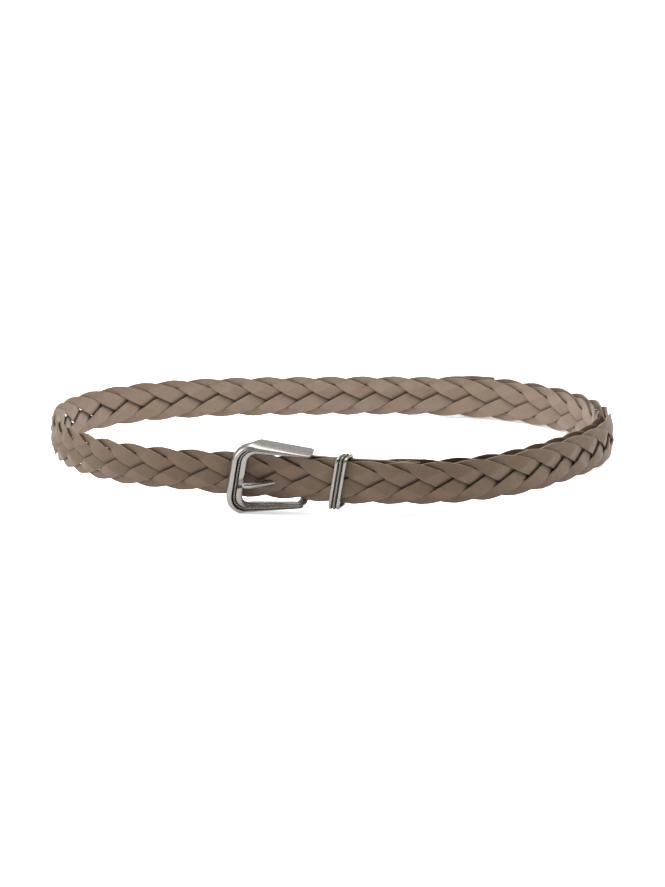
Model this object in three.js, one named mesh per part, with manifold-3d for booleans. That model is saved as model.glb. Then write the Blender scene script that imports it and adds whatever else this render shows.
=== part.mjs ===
// Braided leather belt, fastened, standing on its edge.
// The strap is a flat plait of five strands that runs once round the waist loop and on
// behind the buckle as a second, outer layer. Millimetres, +Z up, the buckle faces -Y.
import * as THREE from "three";
import { mergeVertices } from "three/addons/utils/BufferGeometryUtils.js";
import Module from "manifold-3d";

// Waist loop: an ellipse whose reach is scaled by a short sum of waves round it
const LOOP_HALF_LENGTH = 169.8;
const LOOP_HALF_DEPTH = 136.3;
const LOOP_WAVES = [
  { turns: 0, cos: 0.993, sin: 0 },
  { turns: 1, cos: 0.016, sin: 0.083 },
  { turns: 2, cos: 0.051, sin: -0.032 },
  { turns: 3, cos: -0.037, sin: 0.028 },
  { turns: 4, cos: -0.021, sin: 0.0165 },
  { turns: 5, cos: 0.017, sin: -0.002 },
  { turns: 6, cos: 0.005, sin: -0.005 },
];
const HINGE_BEARING_DEG = 262.2;

// The front of the strap leans out at its top, fading out round both sides
const LEAN_DEG = 7;
const LEAN_REACH = 70;
const LEAN_FADE = 100;

// Leather
const GAP = 0.3;
const LEATHER = 1.4;
const STRAND_ROOM = 0.4;
const STRAP_WIDTH = 27;
const STRANDS = 5;
const LIFT = LEATHER + STRAND_ROOM;
const EDGE_CELLS = 2.56;
const CELL = STRAP_WIDTH / 2 / EDGE_CELLS;
const SIDE_PULL = 0.22;
const HALF_PLAIT = 1.5 * LIFT + LEATHER / 2;
const HALF_TAB = GAP / 2 + LEATHER;
const POCKET = HALF_PLAIT + GAP + LEATHER / 2;

// One strand between two edge turns. along: pitches from the turn. up: half cells above
// the middle. lift: layers towards the outer face. The second half mirrors the first.
const STRAND_STEPS = [
  { name: "turn", upper: { along: 0, up: 2.56, lift: 0 }, lower: { along: 0, up: 1.48, lift: 0 } },
  { name: "shoulder", upper: { along: 0.28, up: 2.48, lift: 0.42 }, lower: { along: 0.05, up: 1.49, lift: 0 } },
  { name: "edge corner", upper: { along: 0.6, up: 2.28, lift: 0.7 }, lower: { along: 0.1, up: 1.5, lift: 0 } },
  { name: "over first", upper: { along: 1, up: 1.5, lift: 1.1 }, lower: { along: 0.5, up: 0.5, lift: 1.5 } },
  { name: "seam", upper: { along: 1.5, up: 0.5, lift: -0.5 }, lower: { along: 1, up: -0.5, lift: 0.5 } },
];
const TRAVERSE = 2.5;

// How the plait's pitches lie along the strap, in laps of the loop past the hinge bar
const PLAIT_STRETCHES = [
  { name: "before the tab", pitches: -16, laps: 0.011 },
  { name: "right of the back", pitches: 0, laps: 0.3675 },
  { name: "middle of the back", pitches: 4, laps: 0.462 },
  { name: "left of the middle", pitches: 10, laps: 0.5937 },
  { name: "left of the back", pitches: 16, laps: 0.7297 },
  { name: "left end", pitches: 22, laps: 0.8488 },
  { name: "front left", pitches: 26, laps: 0.9311 },
  { name: "in the buckle", pitches: 29, laps: 0.9978 },
  { name: "past the keeper", pitches: 31, laps: 1.0464 },
  { name: "front right", pitches: 35, laps: 1.1268 },
  { name: "right end", pitches: 39, laps: 1.2248 },
  { name: "past the tail", pitches: 60, laps: 1.6947 },
];

// Buckle tab, tail and keeper, measured along the strap from the hinge bar
const TAB_LENGTH = 74;
const POCKET_LENGTH = 13;
const POCKET_MOUTH = 9;
const TAIL_REACH = 448;
const TIP_LENGTH = 40;
const TIP_HALF_HEIGHT = 7;
const TAB_HALF_HEIGHT = 12.6;
const KEEPER_AT = 26.1;
const KEEPER_WIDTH = 6.8;
const KEEPER_WALL = 1.6;
const KEEPER_ROOM = 1.95;
const KEEPER_DROP = 1.6;
const KEEPER_CORNER = 2;

// Buckle. Its back plane lies HINGE_DEPTH in front of the hinge bar
const FRAME_LEAN_DEG = 10.5;
const KEEPER_LEAN_DEG = 11;
const HINGE_RADIUS = 1.5;
const HINGE_ROOM = 0.6;
const HINGE_DEPTH = 8.6;
const FRAME_LENGTH = 45;
const BAR_WIDTH = 10.3;
const BAR_ROOM = 1.7;
const OPENING_HALF_LEFT = 16.4;
const OPENING_HALF_RIGHT = 15.1;
const FRAME_HALF_LEFT = 23.5;
const FRAME_HALF_RIGHT = 17.9;
const INNER_CORNER = 5.5;
const OUTER_CORNER = 12.5;
const ARM_END = 4.6;
const ARM_DEPTH = 5.5;
const OUTER_DROP = 0.6;
const LUG_WIDTH = 1.6;
const LUG_HALF = 2.6;
const FRAME_RISE = 5.5;
const FRAME_LIFT = -0.35;
const PRONG_RADIUS = 1.8;
const PRONG_RING = 3;
const PRONG_UP = -2.6;
const PRONG_REST = 1.1;
const SPREAD_ROOM = 0.4;

// Angles that lay the belt down on its resting points
const SETTLE_X_DEG = -1.345;
const SETTLE_Y_DEG = 1.745;

const LEATHER_COLOR = 0x6f6052;
const METAL_COLOR = 0x9a9794;

const wasm = await Module();
wasm.setup();
const radians = THREE.MathUtils.degToRad;
const ease = (t) => t * t * (3 - 2 * t);

// Point of the waist loop at a bearing round it
function loopPoint(turn) {
  let reach = 0;
  for (const w of LOOP_WAVES) reach += w.cos * Math.cos(w.turns * turn) + w.sin * Math.sin(w.turns * turn);
  return new THREE.Vector2(LOOP_HALF_LENGTH * reach * Math.cos(turn), LOOP_HALF_DEPTH * reach * Math.sin(turn));
}

// Length along the loop from the hinge bar, stepped once round
const LOOP_STEPS = 1440;
const loopRun = [0];
for (let i = 1; i <= LOOP_STEPS; i++) {
  const from = radians(HINGE_BEARING_DEG) + ((i - 1) / LOOP_STEPS) * 2 * Math.PI;
  const to = from + (2 * Math.PI) / LOOP_STEPS;
  loopRun.push(loopRun[i - 1] + loopPoint(from).distanceTo(loopPoint(to)));
}
const LAP = loopRun[LOOP_STEPS];

// Place and outward direction of the loop at a length past the hinge bar
function loopAt(run) {
  const left = ((run % LAP) + LAP) % LAP;
  let low = 0;
  let high = LOOP_STEPS;
  while (high - low > 1) {
    const mid = (low + high) >> 1;
    if (loopRun[mid] <= left) low = mid;
    else high = mid;
  }
  const share = (left - loopRun[low]) / (loopRun[high] - loopRun[low]);
  const turn = radians(HINGE_BEARING_DEG) + ((low + share) / LOOP_STEPS) * 2 * Math.PI;
  const here = loopPoint(turn);
  const ahead = loopPoint(turn + 0.002).sub(loopPoint(turn - 0.002)).normalize();
  return { here, ahead, out: new THREE.Vector2(ahead.y, -ahead.x) };
}

// How far each stretch of the strap lies outside the loop's own line
const INNER_LAYER = -HALF_PLAIT - GAP;
const OUTER_LAYER = HALF_PLAIT + GAP / 2;
const HINGE_OUT = OUTER_LAYER - HALF_PLAIT - GAP - LEATHER - HINGE_ROOM - HINGE_RADIUS;
const OVER_POCKET = INNER_LAYER + POCKET + LEATHER / 2 + GAP + HALF_PLAIT + GAP / 2;
const LAYER_SHIFT = [
  { run: -1.35 * TAB_LENGTH, out: HINGE_OUT },
  { run: 0.39 * TAB_LENGTH, out: HINGE_OUT },
  { run: 0.676 * TAB_LENGTH, out: INNER_LAYER },
  { run: TAIL_REACH + STRAP_WIDTH, out: INNER_LAYER },
  { run: LAP - 1.67 * FRAME_LENGTH, out: OUTER_LAYER },
  { run: LAP + KEEPER_AT + KEEPER_WIDTH, out: OUTER_LAYER },
  { run: LAP + 0.7 * TAB_LENGTH, out: OVER_POCKET },
  { run: LAP + 1.108 * TAB_LENGTH, out: OVER_POCKET },
  { run: LAP + 1.81 * TAB_LENGTH, out: OUTER_LAYER },
  { run: LAP + TAIL_REACH - 2 * TIP_LENGTH, out: OUTER_LAYER },
  { run: LAP + TAIL_REACH - 1.1 * TIP_LENGTH, out: OVER_POCKET },
  { run: LAP + TAIL_REACH + 2.5 * TIP_LENGTH, out: OVER_POCKET },
];
function layerShift(run) {
  for (let i = 1; i < LAYER_SHIFT.length; i++) {
    const from = LAYER_SHIFT[i - 1];
    const to = LAYER_SHIFT[i];
    if (run <= to.run) return from.out + (to.out - from.out) * ease((run - from.run) / (to.run - from.run));
  }
  return OVER_POCKET;
}

// How far the strap's top stands out over its middle, for each millimetre up
function strapLean(run) {
  const left = ((run % LAP) + LAP) % LAP;
  const apart = Math.min(left, LAP - left);
  return Math.tan(radians(LEAN_DEG)) * ease(THREE.MathUtils.clamp((LEAN_REACH + LEAN_FADE - apart) / LEAN_FADE, 0, 1));
}

// The prong spreads the plait's lower edge down towards the buckle's lower arm
const spreadTo = (opening, room) => opening - FRAME_LIFT - STRAP_WIDTH / 2 - room;
const SPREAD = [
  { run: LAP - 1.6 * FRAME_LENGTH, down: 0 },
  { run: LAP - FRAME_LENGTH + BAR_WIDTH, down: spreadTo(OPENING_HALF_LEFT, 2 * SPREAD_ROOM + GAP) },
  { run: LAP, down: spreadTo(OPENING_HALF_RIGHT, SPREAD_ROOM) },
  { run: LAP + KEEPER_AT, down: spreadTo(OPENING_HALF_RIGHT, SPREAD_ROOM) },
  { run: LAP + 0.8 * TAB_LENGTH, down: 0 },
];
function spreadUp(run, up) {
  const i = SPREAD.findIndex((p) => run < p.run);
  if (i < 1) return up;
  const [from, to] = [SPREAD[i - 1], SPREAD[i]];
  const down = from.down + (to.down - from.down) * ease((run - from.run) / (to.run - from.run));
  return up - down * THREE.MathUtils.clamp(0.5 - up / STRAP_WIDTH, 0, 1) ** 2;
}

// Strap coordinates to the belt's own: run along it, up from its middle, out from its middle
function place(run, up, out) {
  const { here, out: away } = loopAt(run);
  const shift = layerShift(run) + out + up * strapLean(run);
  return new THREE.Vector3(here.x + away.x * shift, here.y + away.y * shift, STRAP_WIDTH / 2 + up);
}

// Closed body through a row of rings with equal counts of points, capped at both ends
function loft(rings, closed = false) {
  const size = rings[0].length;
  const points = rings.flat();
  const faces = [];
  const last = closed ? rings.length : rings.length - 1;
  for (let i = 0; i < last; i++) {
    const a = i * size;
    const b = ((i + 1) % rings.length) * size;
    for (let j = 0; j < size; j++) {
      const k = (j + 1) % size;
      faces.push(a + j, b + j, b + k, a + j, b + k, a + k);
    }
  }
  if (!closed) {
    const caps = THREE.ShapeUtils.triangulateShape(flatten(rings[0]), []);
    for (const [p, q, r] of caps) faces.push(p, q, r);
    const end = (rings.length - 1) * size;
    const closing = THREE.ShapeUtils.triangulateShape(flatten(rings[rings.length - 1]), []);
    for (const [p, q, r] of closing) faces.push(end + p, end + r, end + q);
  }
  return facingOut(points, faces);
}

// A ring's points in its own plane, for the cap's triangles
function flatten(ring) {
  const normal = new THREE.Vector3();
  for (let i = 0; i < ring.length; i++) {
    const a = ring[i];
    const b = ring[(i + 1) % ring.length];
    normal.add(new THREE.Vector3().crossVectors(a, b));
  }
  normal.normalize();
  const side = new THREE.Vector3().subVectors(ring[1], ring[0]).projectOnPlane(normal).normalize();
  const rise = new THREE.Vector3().crossVectors(normal, side);
  return ring.map((p) => new THREE.Vector2(p.dot(side), p.dot(rise)));
}

// Geometry of a closed set of faces, turned round when its volume comes out negative
function facingOut(points, faces) {
  let volume = 0;
  for (let i = 0; i < faces.length; i += 3) {
    const [a, b, c] = [points[faces[i]], points[faces[i + 1]], points[faces[i + 2]]];
    volume += a.dot(new THREE.Vector3().crossVectors(b, c));
  }
  if (volume < 0) for (let i = 0; i < faces.length; i += 3) [faces[i + 1], faces[i + 2]] = [faces[i + 2], faces[i + 1]];
  const g = new THREE.BufferGeometry().setFromPoints(points);
  g.setIndex(faces);
  return g;
}

// Joining and cutting of closed geometries
function solid(geometry) {
  const bare = geometry.clone();
  bare.deleteAttribute("normal");
  bare.deleteAttribute("uv");
  const merged = mergeVertices(bare, 1e-4);
  return new wasm.Manifold(
    new wasm.Mesh({
      numProp: 3,
      vertProperties: new Float32Array(merged.attributes.position.array),
      triVerts: new Uint32Array(merged.index.array),
    }),
  );
}
function geometryOf(made) {
  const mesh = made.getMesh();
  const points = new Float32Array(mesh.numVert * 3);
  for (let i = 0; i < mesh.numVert; i++)
    points.set(mesh.vertProperties.subarray(i * mesh.numProp, i * mesh.numProp + 3), i * 3);
  const g = new THREE.BufferGeometry();
  g.setAttribute("position", new THREE.BufferAttribute(points, 3));
  g.setIndex(new THREE.BufferAttribute(mesh.triVerts, 1));
  return g;
}

// Box in strap coordinates, as a closed geometry
function strapBox(run0, run1, up0, up1, out0, out1) {
  const ring = (run) => [place(run, up0, out0), place(run, up1, out0), place(run, up1, out1), place(run, up0, out1)];
  return loft([ring(run0), ring((run0 + run1) / 2), ring(run1)]);
}

// All steps of one traverse: the first half from the table, the second its half turn
function traverseSteps() {
  const steps = STRAND_STEPS.map(({ upper, lower }) => ({ upper, lower }));
  const half = (p) => ({ along: TRAVERSE - p.along, up: -p.up, lift: -p.lift });
  for (let i = STRAND_STEPS.length - 2; i > 0; i--) {
    const { upper, lower } = STRAND_STEPS[i];
    steps.push({ upper: half(lower), lower: half(upper) });
  }
  return steps;
}

// Length along the strap at a count of pitches
function runAt(pitches) {
  let i = 1;
  while (i < PLAIT_STRETCHES.length - 1 && PLAIT_STRETCHES[i].pitches < pitches) i++;
  const [from, to] = [PLAIT_STRETCHES[i - 1], PLAIT_STRETCHES[i]];
  return LAP * (from.laps + ((pitches - from.pitches) / (to.pitches - from.pitches)) * (to.laps - from.laps));
}

// The strand's two sides over a stretch of strap, as points of run, up and lift in millimetres
function strandSides(index, from, to) {
  const steps = traverseSteps();
  const sides = [];
  const first = Math.floor((PLAIT_STRETCHES[0].pitches - index) / TRAVERSE);
  const last = Math.ceil((PLAIT_STRETCHES[PLAIT_STRETCHES.length - 1].pitches - index) / TRAVERSE);
  for (let t = first; t <= last; t++) {
    const down = t % 2 === 0;
    for (const { upper, lower } of steps) {
      const point = (p) => ({
        run: runAt(p.along + t * TRAVERSE + index),
        up: (down ? p.up : -p.up) * CELL,
        lift: p.lift * LIFT,
      });
      const [a, b] = [point(upper), point(lower)];
      const span = Math.hypot(a.run - b.run, a.up - b.up);
      const pull = Math.abs(a.up) > 2.4 * CELL || Math.abs(b.up) > 2.4 * CELL ? 0 : SIDE_PULL / span;
      const inward = (p, q) => ({ run: p.run + (q.run - p.run) * pull, up: p.up + (q.up - p.up) * pull, lift: p.lift });
      const pair = [inward(a, b), inward(b, a)];
      sides.push(down ? pair : [pair[1], pair[0]]);
    }
  }
  const begin = sides.findIndex((_, i) => i + 1 < sides.length && Math.max(...sides[i + 1].map((p) => p.run)) > from - GAP);
  const end = sides.findIndex((pair) => Math.min(...pair.map((p) => p.run)) > to + GAP);
  return sides.slice(Math.max(begin - 1, 0), end + 1);
}

// One strand of the plait as a flat ribbon with square edges, cut square at both ends
const PLAIT_FROM = TAB_LENGTH - POCKET_LENGTH + GAP;
const PLAIT_TO = LAP + TAIL_REACH - TIP_LENGTH + POCKET_LENGTH - GAP;
function strand(index) {
  const half = LEATHER / 2;
  const at = (p, face) => place(p.run, spreadUp(p.run, p.up), p.lift + face);
  const rings = strandSides(index, PLAIT_FROM, PLAIT_TO).map(([a, b]) => [at(a, half), at(b, half), at(b, -half), at(a, -half)]);
  const tall = 0.6 * STRAP_WIDTH;
  const deep = HALF_PLAIT + GAP / 2;
  const over = 1.1 * STRAP_WIDTH;
  return solid(loft(rings))
    .subtract(solid(strapBox(PLAIT_FROM - over, PLAIT_FROM, -tall, tall, -deep, deep)))
    .subtract(solid(strapBox(PLAIT_TO, PLAIT_TO + over, -tall, tall, -deep, deep)));
}

// Leather folded on itself: two plies that open into a pocket round the end of the plait.
// fold: run at the fold's middle. sense: 1 where the plies run on along the strap.
function foldedLeather({ fold, sense, length, foldRadius, tipHalf, middle }) {
  const stations = [];
  const closedPly = HALF_TAB - LEATHER / 2;
  const ply = (run) => {
    const open = ease(THREE.MathUtils.clamp((run - (length - POCKET_LENGTH - POCKET_MOUTH)) / POCKET_MOUTH, 0, 1));
    const shut = ease(THREE.MathUtils.clamp(run / (3.25 * foldRadius), 0, 1));
    return foldRadius + (closedPly - foldRadius) * shut + (POCKET - closedPly) * open;
  };
  const tall = (run) => {
    const t = THREE.MathUtils.clamp((run + foldRadius) / (TIP_LENGTH * 0.45), 0, 1);
    return tipHalf + (TAB_HALF_HEIGHT - tipHalf) * Math.sqrt(1 - (1 - t) ** 2);
  };
  const runs = [];
  for (const r of [1, 0.93, 0.86, 0.8, 0.76, 0.72, 0.66, 0.6, 0.5, 0.4, 0.3, 0.22, 0.15, 0.1, 0.06, 0.03]) runs.push(length * r);
  for (const r of runs) stations.push({ run: r, out: ply(r), turn: 0 });
  for (let i = 0; i <= 6; i++) {
    const a = Math.PI / 2 + (i / 6) * Math.PI;
    stations.push({ run: foldRadius * Math.cos(a), out: foldRadius * Math.sin(a), turn: a - Math.PI / 2 });
  }
  for (const r of runs.toReversed()) stations.push({ run: r, out: -ply(r), turn: Math.PI });
  const rings = stations.map((p, i) => {
    const before = stations[Math.max(i - 1, 0)];
    const after = stations[Math.min(i + 1, stations.length - 1)];
    const step = new THREE.Vector2(after.run - before.run, after.out - before.out).normalize();
    const side = new THREE.Vector2(-step.y, step.x).multiplyScalar(LEATHER / 2);
    const h = tall(p.run);
    const at = (sign, up) => {
      const run = fold + sense * (p.run + sign * side.x);
      return place(run, up, p.out + sign * side.y + middle);
    };
    return [at(1, h), at(1, -h), at(-1, -h), at(-1, h)];
  });
  return loft(rings);
}

// Cross-section of the cast frame: across from the inner edge, rise as a share of its height
const FRAME_SECTION = [
  { name: "inner foot", across: 0, rise: 0 },
  { name: "inner edge", across: 0, rise: 0.5 },
  { name: "lip", across: 0.07, rise: 0.6 },
  { name: "lip top", across: 0.32, rise: 0.74 },
  { name: "rope groove", across: 0.37, rise: 0.7 },
  { name: "rope crest", across: 0.45, rise: 0.96 },
  { name: "rope groove out", across: 0.53, rise: 0.82 },
  { name: "bevel crest", across: 0.58, rise: 1 },
  { name: "bevel", across: 0.8, rise: 0.84 },
  { name: "bevel low", across: 0.95, rise: 0.5 },
  { name: "outer edge", across: 1, rise: 0.16 },
  { name: "outer foot", across: 0.97, rise: 0 },
];

// The frame's inner and outer outline points, from the top arm's end round the bar to the other
const INNER_LEFT = BAR_WIDTH - FRAME_LENGTH;
function frameOutline() {
  const rows = [];
  const armShare = (a) => THREE.MathUtils.clamp((a - INNER_LEFT) / (ARM_END - INNER_LEFT), 0, 1);
  const inHalf = (a) => OPENING_HALF_LEFT + (OPENING_HALF_RIGHT - OPENING_HALF_LEFT) * armShare(a);
  const outHalf = (a) => FRAME_HALF_LEFT + (FRAME_HALF_RIGHT - FRAME_HALF_LEFT) * armShare(a);
  const cornerIn = INNER_LEFT + INNER_CORNER;
  const cornerOut = -FRAME_LENGTH + OUTER_CORNER;
  for (const t of [0, 0.1, 0.3, 0.55, 0.8]) {
    const a = ARM_END + (cornerIn - ARM_END) * t;
    const b = ARM_END + (cornerOut - ARM_END) * t;
    rows.push({ inner: [a, inHalf(a)], outer: [b, outHalf(b)] });
  }
  for (let i = 0; i <= 5; i++) {
    const t = Math.PI / 2 + (i / 5) * (Math.PI / 2);
    const c = Math.cos(t);
    const s = Math.sin(t);
    rows.push({
      inner: [cornerIn + INNER_CORNER * c, inHalf(cornerIn) - INNER_CORNER + INNER_CORNER * s],
      outer: [cornerOut + OUTER_CORNER * c, outHalf(cornerOut) - OUTER_CORNER + OUTER_CORNER * s],
    });
  }
  const lower = rows.toReversed().map(({ inner, outer }) => ({ inner: [inner[0], -inner[1]], outer: [outer[0], -outer[1]] }));
  const middle = { inner: [INNER_LEFT, 0], outer: [-FRAME_LENGTH, 0] };
  return [...rows, middle, ...lower];
}

// The arms reach down beside the strap by ARM_DEPTH, their outer side by OUTER_DROP of it more.
// A lug behind each arm's end holds the hinge bar
const BEVEL_CREST = FRAME_SECTION.find((p) => p.name === "bevel crest").across;
const outerDrop = (across) => OUTER_DROP * Math.max((across - BEVEL_CREST) / (1 - BEVEL_CREST), 0) ** 1.6;
const armDepth = (a) => ARM_DEPTH * ease(THREE.MathUtils.clamp((a - INNER_LEFT) / INNER_CORNER, 0, 1));
const lean = (a, b, degrees) => a + b * Math.tan(radians(degrees));
function buckleFrame() {
  const rows = frameOutline();
  const rings = rows.map(({ inner, outer }, i) => {
    const endShare = i === 0 || i === rows.length - 1 ? 0.72 : 1;
    return FRAME_SECTION.map(({ across, rise }) => {
      const a = inner[0] + (outer[0] - inner[0]) * across;
      const b = inner[1] + (outer[1] - inner[1]) * across;
      const height = (rise === 0 ? -armDepth(a) : FRAME_RISE * rise) - outerDrop(across) * armDepth(a);
      return new THREE.Vector3(lean(a, b, FRAME_LEAN_DEG), b, height * endShare);
    });
  });
  const bar = new THREE.CylinderGeometry(HINGE_RADIUS, HINGE_RADIUS, 2 * OPENING_HALF_RIGHT + LUG_WIDTH, 14);
  bar.translate(0, 0, -HINGE_DEPTH);
  return solid(loft(rings)).add(solid(bar)).add(lug(1)).add(lug(-1));
}

// Lug: a plate with a round end about the hinge bar
function lug(side) {
  const outline = [new THREE.Vector2(-LUG_HALF, -0.2 * ARM_DEPTH)];
  for (let i = 0; i <= 6; i++) {
    const t = Math.PI + (i / 6) * Math.PI;
    outline.push(new THREE.Vector2(LUG_HALF * Math.cos(t), -HINGE_DEPTH + LUG_HALF * Math.sin(t)));
  }
  outline.push(new THREE.Vector2(LUG_HALF, -0.2 * ARM_DEPTH));
  const ring = (b) => outline.map((p) => new THREE.Vector3(p.x, side * b, p.y));
  return solid(loft([ring(OPENING_HALF_RIGHT + GAP / 3), ring(OPENING_HALF_RIGHT + LUG_WIDTH)]));
}

// The prong's centre line. away: share of its reach from the hinge bar to its rest on the frame's bar.
// up: share of PRONG_UP. rise: share of its climb from the hinge bar to the lip's top
const PRONG_REACH = FRAME_LENGTH - BAR_WIDTH + PRONG_REST;
const LIP_TOP = FRAME_SECTION.find((p) => p.name === "lip top").rise * FRAME_RISE;
const PRONG_CLIMB = HINGE_DEPTH + LIP_TOP + 0.85 * PRONG_RADIUS + 2 * GAP;
const PRONG_LINE = [
  { name: "root", away: 0.081, up: 1, rise: 0.04, girth: 0.6 },
  { name: "neck", away: 0.237, up: 1.08, rise: 0.135, girth: 0.8 },
  { name: "hole", away: 0.475, up: 1.35, rise: 0.4, girth: 0.9 },
  { name: "out", away: 0.63, up: 1.45, rise: 0.61, girth: 1 },
  { name: "over lip", away: 0.852, up: 1.3, rise: 1, girth: 1 },
  { name: "tip", away: 0.955, up: 1.27, rise: 1, girth: 0.85 },
  { name: "end", away: 1, up: 1.27, rise: 0.973, girth: 0.4 },
].map((p) => ({ ...p, away: p.away * PRONG_REACH, up: p.up * PRONG_UP, rise: p.rise * PRONG_CLIMB - HINGE_DEPTH }));
function prong(extra = 0, ring = true) {
  const rings = PRONG_LINE.map((p, i) => {
    const before = PRONG_LINE[Math.max(i - 1, 0)];
    const after = PRONG_LINE[Math.min(i + 1, PRONG_LINE.length - 1)];
    const along = new THREE.Vector3(before.away - after.away, after.up - before.up, after.rise - before.rise).normalize();
    const side = new THREE.Vector3(0, 1, 0).projectOnPlane(along).normalize();
    const top = new THREE.Vector3().crossVectors(along, side);
    const r = PRONG_RADIUS * p.girth + extra;
    return Array.from({ length: 8 }, (_, j) => {
      const t = ((j + 0.5) / 8) * 2 * Math.PI;
      return new THREE.Vector3(-p.away, p.up, p.rise)
        .addScaledVector(side, r * Math.cos(t))
        .addScaledVector(top, r * 0.85 * Math.sin(t));
    });
  });
  const rod = solid(loft(rings));
  if (!ring) return rod;
  const bore = HINGE_RADIUS + GAP;
  const rim = HINGE_RADIUS + GAP + LEATHER;
  const h = PRONG_RING / 2;
  const profile = [
    new THREE.Vector2(bore, -h),
    new THREE.Vector2(rim, -h),
    new THREE.Vector2(rim, h),
    new THREE.Vector2(bore, h),
    new THREE.Vector2(bore, -h),
  ];
  const eye = new THREE.LatheGeometry(profile, 16);
  eye.translate(0, PRONG_UP, -HINGE_DEPTH);
  return rod.add(solid(eye));
}

// The buckle's own frame: x from the bar to the hinge, y up, z out of the belt
function buckleMatrix() {
  const hinge = loopAt(0);
  const h = new THREE.Vector3(hinge.here.x, hinge.here.y, 0).addScaledVector(new THREE.Vector3(hinge.out.x, hinge.out.y, 0), HINGE_OUT);
  const barRun = LAP - FRAME_LENGTH + BAR_WIDTH / 2;
  const bar = loopAt(barRun);
  const barOut = layerShift(barRun) + HALF_PLAIT + GAP + BAR_ROOM;
  const q = new THREE.Vector3(bar.here.x, bar.here.y, 0).addScaledVector(new THREE.Vector3(bar.out.x, bar.out.y, 0), barOut);
  const along = new THREE.Vector3().subVectors(h, q).normalize();
  const up = new THREE.Vector3(0, 0, 1);
  const out = new THREE.Vector3().crossVectors(along, up);
  // the back plane runs from the bar to HINGE_DEPTH in front of the hinge bar
  const reach = h.distanceTo(q);
  const turn = Math.asin(HINGE_DEPTH / reach);
  along.applyAxisAngle(up, -turn);
  up.applyAxisAngle(along, radians(LEAN_DEG));
  out.crossVectors(along, up);
  const origin = h.clone().addScaledVector(out, HINGE_DEPTH).addScaledVector(up, FRAME_LIFT);
  origin.z += STRAP_WIDTH / 2;
  return new THREE.Matrix4().makeBasis(along, up, out).setPosition(origin);
}

// Keeper: a rounded rectangular band round both layers and the tab
const KEEPER_SECTION = [
  { name: "inner edge", across: 0, rise: 0 },
  { name: "side", across: 0, rise: 0.75 },
  { name: "border", across: 0.06, rise: 0.95 },
  { name: "border end", across: 0.2, rise: 0.95 },
  { name: "groove", across: 0.26, rise: 0.62 },
  { name: "rope", across: 0.5, rise: 1 },
  { name: "far groove", across: 0.74, rise: 0.62 },
  { name: "far border", across: 0.8, rise: 0.95 },
  { name: "far border end", across: 0.94, rise: 0.95 },
  { name: "far side", across: 1, rise: 0.75 },
  { name: "far inner edge", across: 1, rise: 0 },
];
function keeper() {
  const deepIn = HINGE_OUT - HALF_TAB - 2 * GAP;
  const deepOut = OUTER_LAYER + HALF_PLAIT + 2 * GAP;
  const tall = STRAP_WIDTH / 2 + KEEPER_ROOM;
  const corner = KEEPER_CORNER;
  const shift = layerShift(KEEPER_AT);
  const rings = [];
  const corners = [
    { out: deepOut - corner, up: tall - corner, from: 0 },
    { out: deepIn + corner, up: tall - corner, from: 90 },
    { out: deepIn + corner, up: -tall + corner, from: 180 },
    { out: deepOut - corner, up: -tall + corner, from: 270 },
  ];
  for (const c of corners)
    for (const step of [0, 30, 60, 90]) {
      const t = radians(c.from + step);
      rings.push(
        KEEPER_SECTION.map(({ across, rise }) => {
          const r = corner + KEEPER_WALL * rise;
          const out = c.out + r * Math.cos(t);
          const up = c.up - KEEPER_DROP + r * Math.sin(t);
          return place(lean(KEEPER_AT + (across - 0.5) * KEEPER_WIDTH, up, KEEPER_LEAN_DEG), up, out - shift);
        }),
      );
    }
  return loft(rings, true);
}

// Assembly
const leather = new THREE.MeshStandardMaterial({ color: LEATHER_COLOR, roughness: 0.7, metalness: 0 });
const metal = new THREE.MeshStandardMaterial({ color: METAL_COLOR, roughness: 0.35, metalness: 1 });
const belt = new THREE.Group();
function piece(name, geometry, material, parent = belt) {
  const mesh = new THREE.Mesh(geometry, material);
  mesh.name = name;
  parent.add(mesh);
}

const buckle = new THREE.Group();
buckleMatrix().decompose(buckle.position, buckle.quaternion, buckle.scale);
buckle.updateMatrix();
belt.add(buckle);
piece("buckle_frame", geometryOf(buckleFrame()), metal, buckle);
piece("prong", geometryOf(prong()), metal, buckle);

const clearance = geometryOf(prong(GAP, false)).applyMatrix4(buckle.matrix);
for (let i = 0; i < STRANDS; i++) {
  const pierced = strand(i).subtract(solid(clearance)).decompose();
  pierced.sort((a, b) => b.volume() - a.volume());
  piece("plait_strand_" + (i + 1), geometryOf(pierced[0]), leather);
}

const fold = HINGE_RADIUS + HINGE_ROOM + LEATHER / 2;
const slotHalf = PRONG_RING / 2 + HINGE_ROOM + GAP;
const slotUp = PRONG_UP + FRAME_LIFT;
const slot = strapBox(-fold - LEATHER, fold + LEATHER, slotUp - slotHalf, slotUp + slotHalf, -fold - LEATHER, fold + LEATHER);
const tab = foldedLeather({ fold: 0, sense: 1, length: TAB_LENGTH, foldRadius: fold, tipHalf: TAB_HALF_HEIGHT, middle: 0 });
piece("buckle_tab", geometryOf(solid(tab).subtract(solid(slot))), leather);

const tip = foldedLeather({
  fold: LAP + TAIL_REACH - HALF_TAB,
  sense: -1,
  length: TIP_LENGTH - HALF_TAB,
  foldRadius: HALF_TAB - LEATHER / 2,
  tipHalf: TIP_HALF_HEIGHT,
  middle: 0,
});
piece("tail_tip", tip, leather);
piece("keeper", keeper(), metal);

// Settle on the floor, middle of the outline at the origin
const settled = new THREE.Group();
belt.rotation.set(radians(SETTLE_X_DEG), radians(SETTLE_Y_DEG), 0, "YXZ");
settled.add(belt);
settled.updateMatrixWorld(true);
const box = new THREE.Box3().setFromObject(belt, true);
belt.position.set(-(box.min.x + box.max.x) / 2, -(box.min.y + box.max.y) / 2, -box.min.z);
export default settled;
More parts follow.
